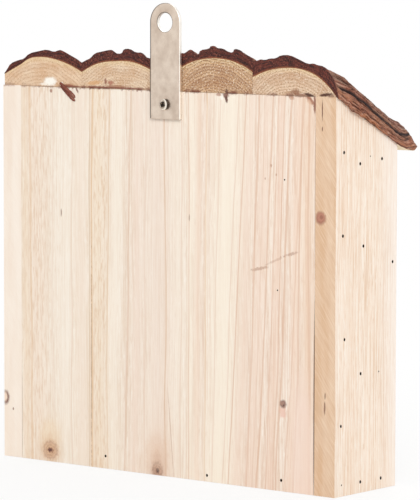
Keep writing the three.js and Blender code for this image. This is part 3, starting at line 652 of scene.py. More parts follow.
REAR_END, FRONT_END = SLAB_HIGH.y, SLAB_LOW.y
# A slab's length down the slope and round its arch, and its gap to the roof plane
RUN = (REAR_END - FRONT_END) / math.cos(ROOF_ANGLE)
GIRTH = 84
SLAB_GAP = 0.15
# A slab thins by a share of its height. Its tip's underside is lifted, by less the higher a point
# is and not at all at the crown, and the tip is rounded down to the height of its nose.
THINNING = 0.04
TIP_START = 0.76
TIP_LIFT = 4.2
NOSE_HEIGHT = 4
CROWN = 22
# The lowest slab, its flank as a share of the way across it, and how far round its open crack is
LOWEST = 1
FLANK_SHARE = 0.09
CRACK_PLACE = 9.0
# The flakes on that flank, in shares of the way along it: their start, rise and fading
FLAKE_START, FLAKE_RISE, FLAKE_FADING = 0.12, 0.02, 0.08


def tip_share(along):
    """How far into the tip a place along a slab is, from 0 to 1."""
    return max(0.0, (along - TIP_START) / (1 - TIP_START))


def bump(value, middle, width):
    """A smooth rise to 1 at the middle."""
    return math.exp(-((value - middle) / width) ** 2)


def on_slope(x, height, along):
    """A point at a height over the roof plane further along a slab: it thins to the front, where
    the tip is rounded and its underside was trimmed upward."""
    tip = tip_share(along)
    lift = TIP_LIFT * tip ** 1.5
    thinned = height * (1 - THINNING * along) * (1 - lift / CROWN)
    lifted = lift + NOSE_HEIGHT + (thinned - NOSE_HEIGHT) * math.sqrt(1 - 0.84 * tip ** 9)
    y = REAR_END + (FRONT_END - REAR_END) * along
    return Vector((x, y, roof_height(y) + SLAB_GAP + lifted))


def uneven(*place):
    """Smooth noise between -1 and 1 at a place."""
    return noise.noise(Vector(place))


def fissures(number, across, along):
    """Depth of the long cracks down the bark, the fine relief on its plates, and how dark it is: the bark's
    own dark in its cracks with painted shade over it.
    """
    girth = across * GIRTH
    run = along * RUN
    wander = uneven(girth / 22, run / 40, number * 3.7) * 2.4
    long_crack = abs(uneven((girth + wander) / 4.4, run / 60, number * 9.1))
    short_crack = abs(uneven((girth - wander) / 2.6, run / 26, number * 5.3))
    crack = shade = max(0.0, 1 - long_crack / 0.09, 0.6 - 0.6 * short_crack / 0.08)
    if number == LOWEST:
        # One open crack runs down the middle of the outer flank: a shallow groove, darkened in full by
        # painted shade
        middle = CRACK_PLACE + 1.6 * uneven(run / 17, 0.3, 2.2) + 0.6 * uneven(run / 4, 5.1, 0)
        broken = 0.85 + 0.5 * uneven(run / 9, 8.2, 1)
        open_crack = min(1.0, max(0.0, broken * (1.9 - abs(girth - middle) / 0.9)))
        crack = max(min(crack, 0.5), open_crack * 0.25)
        shade = max(shade * 0.8, open_crack)
    plates = uneven(girth / 6, run / 40, number * 2.3)
    fine = noise.fractal(Vector((girth / 1.6, run / 9, number)), 1.0, 2.0, 4)
    return crack, plates * 0.07 + fine * 0.07, shade


def build_slab(number, slab, wood_material, bark_material):
    wood_line = rounded(slab["wood"], 2)
    bark_line = rounded(slab["bark"], 1)
    lowest = number == LOWEST

    def wood_place(across, along, deep):
        x, height = along_outline(wood_line, across)
        return on_slope(x, height * deep, along)

    def bark_place(across, along, deep):
        inner_x, inner_height = along_outline(wood_line, across)
        outer_x, outer_height = along_outline(bark_line, across)
        crack, relief, _ = fissures(number, across, along)
        # The rear end has the measured outline alone, and the relief starts just in front of it
        settled = min(1.0, along * 22)
        lift = deep * (1 - (crack * 0.4 - relief) * settled)
        height = inner_height + (outer_height - inner_height) * lift + 0.1
        lean = (outer_x - inner_x) * lift
        tip = tip_share(along)
        if lowest and lean < 0:
            rear_share = 0.55 + min(0.45, along * 3)
            lean *= rear_share * (1 - 0.6 * along ** 2) * math.sqrt(1 - 0.8 * tip ** 7)
        if lowest:
            # Flakes hang over the side board at the low edge, the largest near the rear
            edge = max(0.0, 1 - across / FLANK_SHARE) * deep
            risen = (along - FLAKE_START) / FLAKE_RISE
            fading = math.exp(-max(0.0, along - FLAKE_START - FLAKE_RISE) / FLAKE_FADING)
            flake = min(1.0, max(0.0, risen)) * fading
            hang = 2.4 * flake + 0.9 * uneven(along * 17, 0, 4)
            corner = bump(across, FLANK_SHARE, 0.07) * bump(tip, 0.85, 0.25)
            height += deep * (4.4 * tip ** 1.6 + 2.2 * corner) - edge * hang
        point = on_slope(inner_x + lean, height, along)
        if along in (0.0, 1.0):
            rough = noise.fractal(Vector((across * 40, deep * 4, number * 5.0)), 1.0, 2.0, 3)
            outward = 1 if along == 0 else -1
            point.y += outward * (rough * 0.5 - 0.35) * math.sin(math.pi * min(1.0, deep * 1.1))
        if lowest and along == 1:
            # The nose of the low edge is worn round
            worn = 0.4 + 1.4 * bump(across, 0.07, 0.05)
            point.y -= worn * min(1.0, deep * 3) * max(0.0, 1 - across / 0.3)
        return point

    # How dark a point is in a fissure or hollow: the bark's own dark with painted shade
    def fissure_shade_mark(across, along, deep):
        _, relief, shade = fissures(number, across, along)
        return min(1.0, shade * 1.1 + max(0.0, -relief * 1.5)) * (deep > 0.85) * min(1.0, along * 20)

    def inner_mark(across, along, deep):
        low = max(0.0, 1 - across * GIRTH / 13) ** 0.5 if lowest and along > 0 else 0.0
        return min(1.0, max(0.0, 1 - deep / 0.3, low))

    def cut_mark(across, along, deep):
        return 1.0 if along in (0.0, 1.0) else max(0.0, 1 - along / 0.02) * 0.7

    wood = shell(wood_place, across=60, along=44, deep=6,
                 marks={"near_bark": lambda across, along, deep: deep})
    new_piece(f"slab_{number}_wood", wood, wood_material, replaced=[f"roof_slab_{number}_wood"])
    marks = {"depth": fissure_shade_mark, "inner": inner_mark, "cut": cut_mark,
             "girth": lambda across, along, deep: across * GIRTH * MM,
             "run": lambda across, along, deep: along * RUN * MM + number,
             "rise": lambda across, along, deep: deep * 6 * MM}
    bark = shell(bark_place, across=150, along=120, deep=5, marks=marks)
    new_piece(f"slab_{number}_bark", bark, bark_material, replaced=[f"roof_slab_{number}_bark"],
              smooth=50)


def build_roof():
    bark = furrowed_bark("furrowed_bark", plate="#955a46", bloom="#a2806d", fissure="#26110e",
                         inner="#b26b42", sawn="#3a120e", sawn_pale="#76372a")
    for number, slab in SLABS.items():
        wood = end_grain(f"sawn_end_grain_{number}", *slab["tones"], "#ecd09f", *slab["heart"],
                         seed=number * 1.7, **slab["saw"])
        build_slab(number, slab, wood, bark)


build_roof()


# A chip of bark that the saw left on the back, over the joint between slab 4 and the panel
def build_bark_chip():
    start, end = Vector((89.4, 254.0)), Vector((75.2, 243.6))
    along = (end - start).normalized()
    aside = Vector((-along.y, along.x))
    rng = random.Random(23)
    stations = 12
    strands, marks = [], {name: [] for name in ("girth", "run", "rise", "depth", "inner", "cut")}
    for shift, first, last in ((-1.0, 0.0, 0.93), (1.05, 0.1, 1.0)):
        rings = []
        for station in range(stations + 1):
            share = station / stations
            middle = start.lerp(end, first + (last - first) * share)
            middle += aside * (shift * min(1.0, 0.65 + share) + rng.uniform(-0.15, 0.15))
            blunt = math.sqrt(max(0.05, 1 - max(0.0, (share - 0.8) / 0.2) ** 3))
            wide = (0.85 + 0.45 * share) * blunt * rng.uniform(0.9, 1.1)
            thick = (0.4 + 0.75 * share) * blunt
            ring = []
            for side, lift in ((-1, 0), (-0.75, 0.75), (0, 1), (0.75, 0.75), (1, 0), (0, -0.1)):
                place = middle + aside * side * wide
                ring.append((place.x, BACK_Y + max(-0.05, lift * thick), place.y))
                values = ((shift + side) * MM, share * 16 * MM + 9, lift * MM, rng.uniform(0, 0.25), 0.0, 0.3)
                for name, value in zip(marks, values):
                    marks[name].append(value)
            rings.append(ring)
        strands.append(rings)
    chip = furrowed_bark("bark_chip_inner", plate="#7c3a2c", bloom="#8d4a38", fissure="#3a1510",
                         inner="#ab663e", sawn="#7a3728", sawn_pale="#a0604a")
    new_piece("bark_chip", lofted(strands, marks), chip, smooth=30)


build_bark_chip()


# Hanger plate: stamped from 2 mm sheet, with a round end and a hanging hole, on one screw
def build_hanger():
    low, high = limits("hanger_plate")
    middle = (low.x + high.x) / 2
    half = (high.x - low.x) / 2
    round_z = high.z - half
    screw_low, screw_high = limits("hanger_screw")
    screw_z = (screw_low.z + screw_high.z) / 2
    hanging_hole, screw_hole, corner = 6.15, 2.25, 0.6
    outline = arc(middle, round_z, half, 0, 180, 40)
    outline += arc(low.x + corner, low.z + corner, corner, 180, 270, 6)
    outline += arc(high.x - corner, low.z + corner, corner, 270, 360, 6)
    holes = [rod(middle, round_z, hanging_hole, low.y - 1, high.y + 1, 48),
             rod(middle, screw_z, screw_hole, low.y - 1, high.y + 1)]
    # Painted light on the plate: a painted highlight strip along its -X edge, painted shade along its +X edge
    # and top, a painted shade ring at the hole's lower rim, and a painted highlight on the hole's wall
    steel = zinc_plate("tumbled_zinc_plate", "#eadaca", "#d2bfae", edges=[
        (middle + 0.7, round_z, True, half + 0.15, half + 0.4, "#fffaf2", 1.0),
        (middle - 0.5, round_z, True, half - 0.5, half - 0.05, "#574d46", 0.9),
        (middle + 0.1, round_z + 0.15, False, 6.85, 6.5, "#5a5049", 0.85),
        (middle, round_z, False, 6.3, 6.2, "#fff9f0", 1.0)], contact_shadow_y=low.y + 0.7)
    plate = cut(prism(outline, low.y, high.y), holes)
    piece = new_piece("plate", plate, steel, "hanger", ["hanger_plate"])
    soften(piece, edge_mm=0.3, angle=50)

    shank, foot, top = 1.75, high.y + 0.3, screw_high.y
    radius = (screw_high.z - screw_low.z) / 2
    profile = [(0, screw_low.y), (shank - 0.05, screw_low.y + 1.8), (shank, foot), (radius - 0.15, foot),
               (radius, foot + 0.2), (radius, foot + 0.9), (radius * 0.93, foot + 1.4),
               (radius * 0.72, top - 0.25), (radius * 0.4, top - 0.04), (0, top)]
    arms = []
    arm_length, arm_width, recess, tilt = 4.2, 0.96, 1.2, 24
    for angle in (tilt, tilt + 90):
        turn = math.radians(angle)
        across = Vector((math.cos(turn), math.sin(turn))) * arm_length / 2
        aside = Vector((-math.sin(turn), math.cos(turn))) * arm_width / 2
        corners = [across * a + aside * b for a, b in ((-1, -1), (1, -1), (1, 1), (-1, 1))]
        arms.append(prism([(middle + c.x, screw_z + c.y) for c in corners], top - recess, top + 1))
    # Painted light on the screw head: a painted highlight crescent, a painted shade crescent at its far rim,
    # and painted shade in its cross recess
    steel = zinc_plate("zinc_plated_screw", "#d8cbbc", "#b5a798", roughness=0.33, cloud_mm=(2, 3, 2), edges=[
        (middle + 0.9, screw_z + 0.2, False, 3.1, 3.5, "#fff8ec", 0.9),
        (middle + 1.0, screw_z - 0.1, False, 4.0, 4.3, "#352c26", 0.95),
        (middle, screw_z, False, 2.1, 1.7, "#3a312b", 0.9)])
    screw = cut(revolve(profile, sides=48, centre=(middle, screw_z)), arms)
    new_piece("screw", screw, steel, replaced=["hanger_screw"], smooth=28)


build_hanger()


# Boards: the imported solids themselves, with softened edges and bare fir
def dress(node, material, edge_mm=0.35):
    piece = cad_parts[node]
    piece.data.materials.clear()
    piece.data.materials.append(material)
    if edge_mm:
        soften(piece, edge_mm)


def dress_boards():
    # Each stripe, stain and knot is what lay_stripe, lay_stain or lay_knot takes after the colour
    line, faint, warm = "#d9b196", "#e3c8b3", "#dfb98f"
    dress("back_stave_1", sawn_fir(
        "fir_stave_heartwood", "#f4e6d7", "#eedaca", "#d8b69c",
        ring_mm=9, line_share=0.6, seed=3.1, torn_top_and_crack_shade=0.7,
        stripes=[
            (-25, -22, 9, "#f7ecdb", 0.7, 1.0), (-30.7, -28.7, 4, "#efd8c4", 0.6),
            (-37, -35.5, 1.2, warm, 0.5), (-56, -46, 22, "#f8eedd", 0.8, 0.9),
            (-67.7, -54.4, 0.9, line, 0.65), (-73, -61, 6, "#f0dac9", 0.6, 1.0),
            (-79.1, -69.4, 1.3, line, 0.6), (-86, -73, 7, "#efd6c4", 0.6, 1.0),
            (-90.8, -77.8, 1.1, line, 0.65), (-94.9, -84.9, 0.9, line, 0.6),
            (-98, -88, 5, "#edd0bc", 0.6, 1.0), (-100.4, -90.5, 1.0, line, 0.55),
            (-106, -92.5, 1.4, line, 0.6), (-112, -104, 5, "#efd3be", 0.6, 1.0),
            (-116, -99.5, 0.9, line, 0.45), (-119, -118, 8, "#e9c9ae", 0.65, 1.0),
            (-114.6, -107.5, 1.2, line, 0.6), (-119.2, -119.8, 1.4, line, 0.5), (-62, -50, 0.7, faint, 0.6),
            (-48, -42, 0.7, faint, 0.5), (-84, -74.5, 0.7, faint, 0.6), (-22.2, -21.4, 0.8, line, 0.5)],
        stains=[
            (-114.5, 22, 19, 120, "#f2dacb", 0.75, 0, 0.3),
            (-79.5, 141.2, 14, 2.2, "#b58a70", 0.6, 11, 2.6), (-92, 147, 17, 1.8, "#b58a70", 0.35, 22, 2.8),
            (-104.5, 151.8, 14, 2.0, "#b0846c", 0.55, 15, 2.6), (-119.4, 249.6, 10, 4, "#a36a50", 0.9, -43),
            (-118.8, 248.4, 5, 3, "#e3bfa3", 0.7, -43), (-123.1, 247, 2.2, 13, "#8a5844", 0.9),
            (-105, 250.6, 5, 3, "#b98466", 0.6), (-51.6, 250.6, 6, 4, "#7c4d3c", 0.9),
            (-52.4, 248, 2.6, 5, "#643c30", 0.95), (-48.6, 249.4, 3, 4, "#fffaf0", 0.8),
            (-46, 250.8, 5, 2.4, "#a87158", 0.7), (-123.8, 58, 1.5, 140, "#5f4130", 0.95, 0, 0.3),
            (-123.8, 190, 0.9, 120, "#a5826a", 0.6, 0, 0.8), (-88.8, 207.3, 1.8, 2.2, "#b98a6c", 0.7),
            (-93, 201.6, 1.5, 2, "#b98a6c", 0.6), (-84, 198.7, 1.4, 1.8, "#b98a6c", 0.6),
            (-98.9, 50.8, 6.2, 9.5, "#e6b4a1", 0.6, 0, 1.5),
            (-98.9, 56.1, 6.2, 5.8, "#86655a", 0.95, 0, 0.5), (-98.4, 56.5, 3.4, 3, "#a98474", 0.85),
            (-21.9, 170.5, 0.8, 5, "#8f6a50", 0.85, 0, 0.6), (-99.4, 55.3, 1.2, 1.2, "#4f3a33", 0.8)]))
    dress("back_stave_2", sawn_fir(
        "fir_stave_middle", "#f4e8d9", "#efdfcf", "#dcc1a8",
        ring_mm=10, line_share=0.6, seed=7.7, torn_top_and_crack_shade=0.95,
        stripes=[
            (56, 56, 12, "#f2dfc6", 0.6, 1.0), (61.2, 61.4, 1.6, warm, 0.7, 0.8),
            (54, 54, 15, "#dab48c", 0.36, 0.6, True), (46, 48.7, 1.0, "#d9b48c", 0.65),
            (39, 44, 9, "#f8eedf", 0.7, 1.0), (28.1, 33.7, 1.3, "#ddbda4", 0.6, 0.9),
            (21, 25, 6, "#f2dfd0", 0.7, 1.0), (14, 17, 0.8, faint, 0.6), (6, 5, 20, "#f0dfd1", 0.7, 1.0),
            (-1.1, -3.4, 1.0, "#d5ae8b", 0.6), (-12, -13, 9, "#f6eadb", 0.6, 1.0),
            (-15.5, -14.5, 0.7, faint, 0.6)],
        stains=[
            (-6.6, 28, 0.9, 64, "#c9a68f", 0.6, 5, 0.7), (61.7, 70, 0.9, 150, "#a58468", 0.5, 0, 3.0),
            (3.4, 12, 14, 20, "#e0c2ab", 0.35, 0, 2.0)],
        knots=[
            (4.7, 12, 20, 30, "#e0bda2", "#cfa589", "#e6c9b2", 0.55),
            (4.7, 3.0, 9, 12, "#9a7461", "#43302c", "#c9a38b")]))
    dress("back_stave_3", sawn_fir(
        "fir_stave_left", "#f5e9da", "#f0decc", "#dcc0a2",
        ring_mm=9, line_share=0.6, seed=12.3, torn_top_and_crack_shade=0.8,
        stripes=[
            (121, 119, 5, "#f3e0c8", 0.6, 1.0), (110, 108, 14, "#f4e1cf", 0.5, 1.0),
            (105, 106, 26, "#d9b391", 0.36, 0.8, True), (116, 115, 1.4, "#dfb98f", 0.5, 0.9),
            (95.5, 94, 0.8, faint, 0.6), (84, 85, 26, "#f8efe2", 0.6, 1.0), (78, 79, 0.7, faint, 0.5),
            (70, 69, 8, "#f3e3d3", 0.6, 1.0), (63.4, 63.2, 0.8, "#cba985", 0.5)],
        stains=[
            (97, 249, 2.4, 3, "#9a6650", 0.8), (88.3, 168.3, 0.9, 6, "#8c6450", 0.95, 0, 0.6),
            (123.8, 30, 0.9, 75, "#a98a70", 0.6, 0, 0.8), (74.3, 250.4, 1.8, 5, "#7a4a3a", 0.85, 35)],
        knots=[
            (98.3, 17, 16, 20, "#ecd0aa", "#e6c59d", "#efd9b8", 0.5),
            (98.3, 7.6, 13.5, 13, "#b98c70", "#5f3b33", "#dcb793")]))
    side = {"pale": "#faebdb", "dark": "#f5dfca", "line": "#dfba98", "ring_mm": 5, "line_share": 0.7,
            "seed": 21.0, "torn_top_and_crack_shade": 0.5, "sapwood": True}
    dress("side_board_left", sawn_fir(
        "fir_side_board_rear_tan", **side, rear_edge=("#e5c7aa", "#dbb693", "#bf9573", 0.24), stains=[
            (-129.1, 243.2, 1.0, 14, "#6e4636", 0.95, 0, 0.6),
            (-129.2, 231.8, 1.0, 3.2, "#6e4636", 0.9, 0, 0.6), (-132.3, 64, 1.2, 5, "#8d6550", 0.8, 0, 1.2),
            (-132, 56.5, 1.5, 9, "#8d6550", 0.9, 0, 1.0), (-128.1, 175.9, 9, 9.4, "#9a6350", 0.95, 0, 0.4),
            (-128.5, 176.2, 7, 7.2, "#b88069", 0.95), (-128.7, 176.6, 3, 3, "#95604e", 0.7)]))
    dress("side_board_right", sawn_fir(
        "fir_side_board_rear_pale", **side, rear_edge=("#faeee1", "#f5e5d5", "#e3c9b0", 0.12), stains=[
            (138.7, 40.1, 7, 10.5, "#6e3e30", 1.0, 0, 0.4), (139.4, 40.4, 5, 7.6, "#f2d9c4", 1.0, 0, 0.4),
            (131.9, 32.7, 1.4, 2.2, "#8d6753", 0.9, 0, 0.8)]))
    shelf = sawn_fir("fir_shelf_board", "#f4e6d3", "#eedbc2", "#d9b992", grain=(1, 0, 0),
                     ring_mm=7, seed=31.0)
    for node in ("bottom_board", "lower_shelf", "upper_shelf", "ceiling_board"):
        dress(node, shelf)
    divider = sawn_fir("fir_divider", "#f3e4d0", "#ecd9bf", "#d8b791", ring_mm=7, seed=41.0)
    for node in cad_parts:
        if "divider" in node:
            dress(node, divider)
    dress("butterfly_front", sawn_fir(
        "fir_chamber_front", "#f4e5d2", "#ecd6bb", "#d5b18a", ring_mm=9, line_share=0.7, seed=51.0))
    wire = zinc_plate("galvanised_wire", "#c3c5c6", "#a3a6a8", roughness=0.38, cloud_mm=(3, 3, 3))
    dress("wire_mesh", wire, edge_mm=0)


dress_boards()


# Brads: thin wire nails, driven flush, whose dark heads show as rows over the boards they hold
def build_brads():
    # On the -X side board as (y, z, radius), and on the back as (x, z, radius)
    on_side = [(24.2, 217.1, 0.95), (25, 164.8, 0.95), (22.8, 99.4, 0.9), (26.1, 44.8, 0.9),
               (25.2, 7.3, 0.45), (7.2, 209.3, 0.95), (-16, 211.4, 0.95), (-3.5, 213.5, 0.4),
               (3.4, 157.1, 0.95), (-28.2, 144.9, 0.9), (5.5, 76.2, 0.95), (-13.9, 75.7, 0.45),
               (5.2, 7, 0.95), (-16.8, 6.8, 0.95)]
    on_back = [(49.5, 8.3, 0.8), (-37, 4.1, 0.8), (-97.7, 7, 0.85), (-99.5, 198.7, 0.5), (-94.2, 128.3, 0.45)]
    metal = zinc_plate("blackened_brad", "#1f1815", "#120e0c", roughness=0.6, cloud_mm=(1, 1, 1))
    rng = random.Random(5)
    sunk, proud, oval, sides = -1.2, 0.16, 1.15, 12

    def head(centre, outward, aside, radius):
        """Rings of one head, a little taller than wide."""
        rings = []
        for reach, out in ((0, sunk), (radius, sunk), (radius, 0.06), (radius * 0.7, proud), (0, proud)):
            flat = [aside * math.cos(turn) + Vector((0, 0, oval * math.sin(turn)))
                    for turn in turns(sides if reach else 1)]
            rings.append([centre + point * reach + outward * out for point in flat])
        return rings

    def row(name, heads):
        new_piece(name, lofted([head(*each) for each in heads]), metal)

    along_y, along_x = Vector((0, 1, 0)), Vector((1, 0, 0))
    row("brads_side_left", [(Vector((-OUTER_X, y, z)), -along_x, along_y, r) for y, z, r in on_side])
    moved = [Vector((OUTER_X, y + rng.uniform(-4, 4), z + rng.uniform(-3, 3))) for y, z, _ in on_side]
    row("brads_side_right", [(place, along_x, along_y, r) for place, (_, _, r) in zip(moved, on_side)])
    row("brads_back", [(Vector((x, BACK_Y, z)), along_y, along_x, r) for x, z, r in on_back])


build_brads()


# Staples: wire crowns over the mesh's level wires, with their legs driven into the boards
def build_staples():
    low, high = limits("wire_mesh")
    wire, levels, uprights = 1.0, 4, 16

    def spaced(first, last, count):
        """The middles of wires that lie evenly between two edges of the mesh."""
        return [first + wire + (last - first - wire * 2) * i / count for i in range(count + 1)]

    level_z = spaced(low.z, high.z, levels)
    upright_x = spaced(low.x, high.x, uprights)
    between = [(a + b) / 2 for a, b in zip(upright_x, upright_x[1:])]
    places = [(between[i], level_z[j]) for i in (1, 4, 6, 9, 11, 14) for j in (0, levels)]
    places += [(side * (INNER_X + upright_x[-1]) / 2, level_z[2]) for side in (-1, 1)]
    reach, gauge, wide, leg, bend, inner_bend = 4.0, 0.55, 1.2, 6.0, 0.5, 0.75
    crown = FRONT_Y - 1.35
    half = [(reach - bend, 0), (reach, bend), (reach, leg), (reach - gauge, leg),
            (reach - gauge, inner_bend), (reach - inner_bend, gauge)]
    outline = half + [(-up, deep) for up, deep in reversed(half)]
    rng = random.Random(11)
    staples = []
    for x, z in places:
        # A staple on a side board stays in its middle
        x += rng.uniform(-2, 2) if abs(x) < between[-1] else 0
        turn = rng.uniform(-0.25, 0.25)
        staples.append([[(x + side * math.cos(turn) - up * math.sin(turn), crown + deep,
                          z + side * math.sin(turn) + up * math.cos(turn)) for up, deep in outline]
                        for side in (-wide / 2, wide / 2)])
    steel = zinc_plate("galvanised_staple", "#b9b4ac", "#8f8a83", roughness=0.4, cloud_mm=(2, 2, 2))
    new_piece("mesh_staples", lofted(staples), steel, smooth=40)


build_staples()


# Canes: each with a thick wall, an uneven round, softened sawn edges and a slight swelling
def build_canes():
    bamboos = [dry_bamboo("dry_bamboo_straw", "#d9bd7e", "#c9a766", "#ecd9a8", "#9c7a45"),
               dry_bamboo("dry_bamboo_green", "#c6b878", "#b3a262", "#e8d9ae", "#8f7a48"),
               dry_bamboo("dry_bamboo_tan", "#d0a972", "#b98f58", "#e6cc9c", "#94683a")]
    slim_under, soft = 7, 0.35
    canes = sorted(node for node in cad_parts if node.startswith("cane_") and "bay" not in node)
    for index, node in enumerate(canes):
        low, high = limits(node)
        radius = (high.z - low.z) / 2
        bore = radius * (0.46 if radius < slim_under else 0.58)
        front, rear = low.y, high.y
        wall = radius - bore
        # Each point has its radius, its depth, and how far it shows a sawn face
        points = [(0, rear - 4, 0.6), (bore * 0.9, rear - 4, 0.6), (bore, rear - 5, 0.6),
                  (bore, front + 0.6, 0.7), (bore + soft, front, 1), (bore + wall * 0.5, front, 1),
                  (radius * 0.99 - soft, front, 1), (radius * 0.985, front + soft, 0.2),
                  (radius * 0.98, front + 14, 0), (radius * 0.98, rear - 7, 0), (radius, rear - 3, 0),
                  (radius * 0.98, rear, 1), (0, rear, 1)]
        marks = {"radial": [max(0.0, min(1.0, (reach - bore) / wall)) for reach, _, _ in points],
                 "cut": [sawn for _, _, sawn in points]}
        centre = ((low.x + high.x) / 2, (low.z + high.z) / 2)
        profile = [point[:2] for point in points]
        mesh = revolve(profile, sides=32, centre=centre, wobble=0.035, seed=index, marks=marks)
        new_piece(f"bamboo_{node}", mesh, bamboos[index * 7 % 3], replaced=[node], smooth=50)


build_canes()


# Drilled blocks and branch sections, whose holes are clean and round
def build_drilled():
    wide, narrow, uncut = 4.0, 2.5, 6
    # Places of the holes as shares of the block's size, and of the branch's radius
    block_holes = [(0.2, 0.3, wide), (0.5, 0.66, wide), (0.8, 0.34, wide), (0.21, 0.74, narrow),
                   (0.79, 0.76, narrow)]
    log_holes = [(0.1, 0.18, wide), (-0.5, 0, narrow), (0.3, -0.48, narrow)]
    for side, mirror in (("left", 1), ("right", -1)):
        node = f"drilled_block_{side}"
        low, high = limits(node)
        size, middle = high - low, (low + high) / 2
        beech = end_grain(f"beech_end_grain_{side}", "#ecd2ab", "#e0c096", "#bd9263", "#ecd2ab",
                          middle.x - mirror * 16, low.z - 14, ring_mm=3.4, speck_share=0.4, seed=8.0 + mirror)
        outline = [(low.x, low.z), (high.x, low.z), (high.x, high.z), (low.x, high.z)]
        holes = [rod(low.x + size.x * (across if mirror == 1 else 1 - across), low.z + size.z * up, radius,
                     low.y - 1, high.y - uncut) for across, up, radius in block_holes]
        block = cut(prism(outline, low.y, high.y), holes)
        piece = new_piece(f"beech_block_{side}", block, beech, replaced=[node])
        soften(piece, edge_mm=0.5)

        node = f"log_section_{side}"
        low, high = limits(node)
        middle = (low + high) / 2
        radius = (high.z - low.z) / 2
        branch = end_grain(f"birch_branch_{side}", "#e9cfa6", "#dcbb8d", "#ab7f50", "#e9cfa6",
                           middle.x + mirror * 2, middle.z - 1.5, ring_mm=2.3, speck_share=0.5,
                           seed=15.0 + mirror, rim=(radius - 1.2, "#7b5a45"))
        profile = [(0, low.y), (radius - 0.8, low.y), (radius - 0.2, low.y + 0.5),
                   (radius * 0.985, low.y + 9), (radius * 0.99, high.y - 9), (radius - 0.3, high.y),
                   (0, high.y)]
        holes = [rod(middle.x + mirror * radius * across, middle.z + radius * up, hole, low.y - 1,
                     high.y - uncut) for across, up, hole in log_holes]
        round_log = revolve(profile, sides=64, centre=(middle.x, middle.z), wobble=0.03, seed=30 + mirror)
        log = cut(round_log, holes)
        new_piece(f"branch_section_{side}", log, branch, replaced=[node], smooth=32)


build_drilled()


# Pine cones: a spiral of open scales, each thin at its root and thick at its rhombic end
GOLDEN_TURN = math.pi * (3 - math.sqrt(5))
SCALES = 78
# Rings of one scale from its root: share of its reach, half width, half thickness, tip mark
SCALE_RINGS = [(0.3, 0.14, 0.03, 0.0), (0.62, 0.26, 0.035, 0.3), (0.86, 0.34, 0.06, 0.7),
               (0.95, 0.3, 0.12, 0.85), (0.99, 0.16, 0.075, 0.93), (1.0, 0.05, 0.03, 1.0)]


def fullness(share):
    """A cone's radius along it, as a share of the largest."""
    return math.sin(math.pi * min(1.0, share) ** 0.72) ** 0.72


def cone_core(length, girth, rings=10, slimness=0.45, first=0.02, last=0.92):
    """The rings of a cone's slim core."""
    core = []
    for ring in range(rings + 1):
        share = first + (last - first) * ring / rings
        radius = 0 if ring in (0, rings) else girth * slimness * fullness(share)
        core.append([(length * (share - 0.5), radius * math.cos(angle), radius * math.sin(angle))
                     for angle in turns(16 if radius else 1)])
    return core


def cone_scale(length, girth, share, angle):
    """The rings of one scale, which leans towards the cone's tip."""
    lean, set_back, clear = 0.62, 0.05, 0.2
    reach = girth * fullness(share)
    root = reach * SCALE_RINGS[0][0]
    limit = length / 2 - clear
    outward = Vector((0, math.cos(angle), math.sin(angle)))
    sideways = Vector((0, -math.sin(angle), math.cos(angle)))
    rings = []
    for reach_share, half_width, half_height, _ in SCALE_RINGS:
        radius = reach * reach_share
        along = length * (share - 0.5) + (radius - root) * lean - length * set_back
        ring = []
        for turn in turns(8):
            point = outward * (radius * (1 - 0.05 * abs(math.cos(turn)) ** 2))
            point += sideways * (reach * half_width * math.cos(turn))
            point.x = max(-limit, min(limit, along + reach * half_height * math.sin(turn)))
            ring.append(tuple(point))
        rings.append(ring)
    return rings


def build_cones():
    wood = cone_scale_wood("pine_cone_scale", root="#5d3b28", tip="#a67c5b", umbo="#4a2f20")
    first, last = 0.05, 0.88
    for number in (1, 2, 3, 4):
        low, high = limits(f"pine_cone_{number}")
        middle = (low + high) / 2
        length = high.x - low.x
        girth = min(high.y - low.y, high.z - low.z) / 2
        facing = 1 if number % 2 else -1
        bodies = [cone_core(length, girth)]
        tips = [0.0] * sum(map(len, bodies[0]))
        for scale in range(SCALES):
            share = first + (last - first) * scale / (SCALES - 1)
            rings = cone_scale(length, girth, share, scale * GOLDEN_TURN + number)
            bodies.append(rings)
            for ring, (_, _, _, tip) in zip(rings, SCALE_RINGS):
                tips += [tip] * len(ring)
        placed = [[[(middle.x + facing * x, middle.y + y, middle.z + z) for x, y, z in ring]
                   for ring in rings] for rings in bodies]
        new_piece(f"open_cone_{number}", lofted(placed, {"tip": tips}), wood,
                  replaced=[f"pine_cone_{number}"], smooth=40)


build_cones()


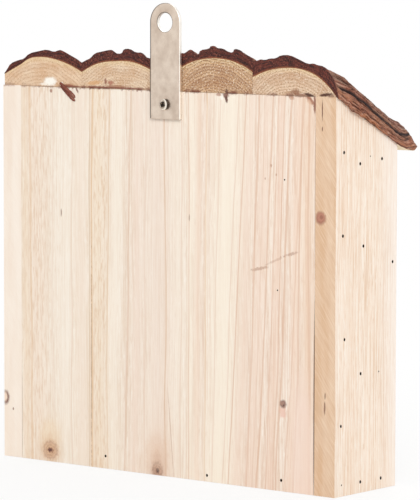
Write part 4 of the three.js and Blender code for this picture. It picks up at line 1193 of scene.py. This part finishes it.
# Light, backdrop and floor
def lamp(name, place, size, power):
    """A round lamp, aimed at the middle of the box. Places are in metres."""
    data = bpy.data.lights.new(name, "AREA")
    data.shape = "DISK"
    data.size = size
    data.energy = power
    aim = Vector((0, 0, 0.13)) - Vector(place)
    turn = aim.to_track_quat("-Z", "Y").to_matrix().to_4x4()
    linked(name, data).matrix_world = Matrix.Translation(place) @ turn


def light_scene():
    lamp("key_lamp", (-1.25, 1.32, 1.2), size=0.8, power=16)
    lamp("front_lamp", (0.9, -1.7, 1.3), size=1.2, power=12)
    scene.world = bpy.data.worlds.new("studio")
    scene.world.use_nodes = True
    tree = scene.world.node_tree
    soft = tree.nodes["Background"]
    soft.inputs["Color"].default_value = linear("#ffffff")
    soft.inputs["Strength"].default_value = 0.7
    path = add(tree, "LightPath").outputs
    seen = add(tree, "Math MAXIMUM", [path["Is Camera Ray"], path["Is Glossy Ray"]])
    seen = add(tree, "Math MAXIMUM", [seen, path["Is Transmission Ray"]])
    mixed = add(tree, "MixShader", [seen, soft, add(tree, "Background", ["#ffffff", 1.0])])
    tree.links.new(live_output(mixed), tree.nodes["World Output"].inputs["Surface"])


def lay_floor():
    reach, height = 4.0, -0.2 * MM
    mesh = bpy.data.meshes.new("floor")
    corners = [(reach * x, reach * y, height) for x, y in ((-1, -1), (1, -1), (1, 1), (-1, 1))]
    mesh.from_pydata(corners, [], [(0, 1, 2, 3)])
    material = bpy.data.materials.new("pale_floor")
    material.use_nodes = True
    tree = material.node_tree
    shader = tree.nodes["Principled BSDF"]
    shader.inputs["Base Color"].default_value = linear("#f6f5f3")
    shader.inputs["Roughness"].default_value = 0.9
    # The floor shows its own shade near the box, and turns to plain white further out
    place = add(tree, "TexCoord").outputs["Object"]
    away = add(tree, "MapRange", [add(tree, "VectorMath LENGTH", [place]), 0.1, 0.6, 0.78, 1.0])
    share = add(tree, "Math MULTIPLY", [add(tree, "LightPath").outputs["Is Camera Ray"], away])
    mixed = add(tree, "MixShader", [share, shader, add(tree, "Emission", ["#ffffff", 1.0])])
    tree.links.new(live_output(mixed), tree.nodes["Material Output"].inputs["Surface"])
    mesh.materials.append(material)
    linked("floor", mesh)


light_scene()
lay_floor()
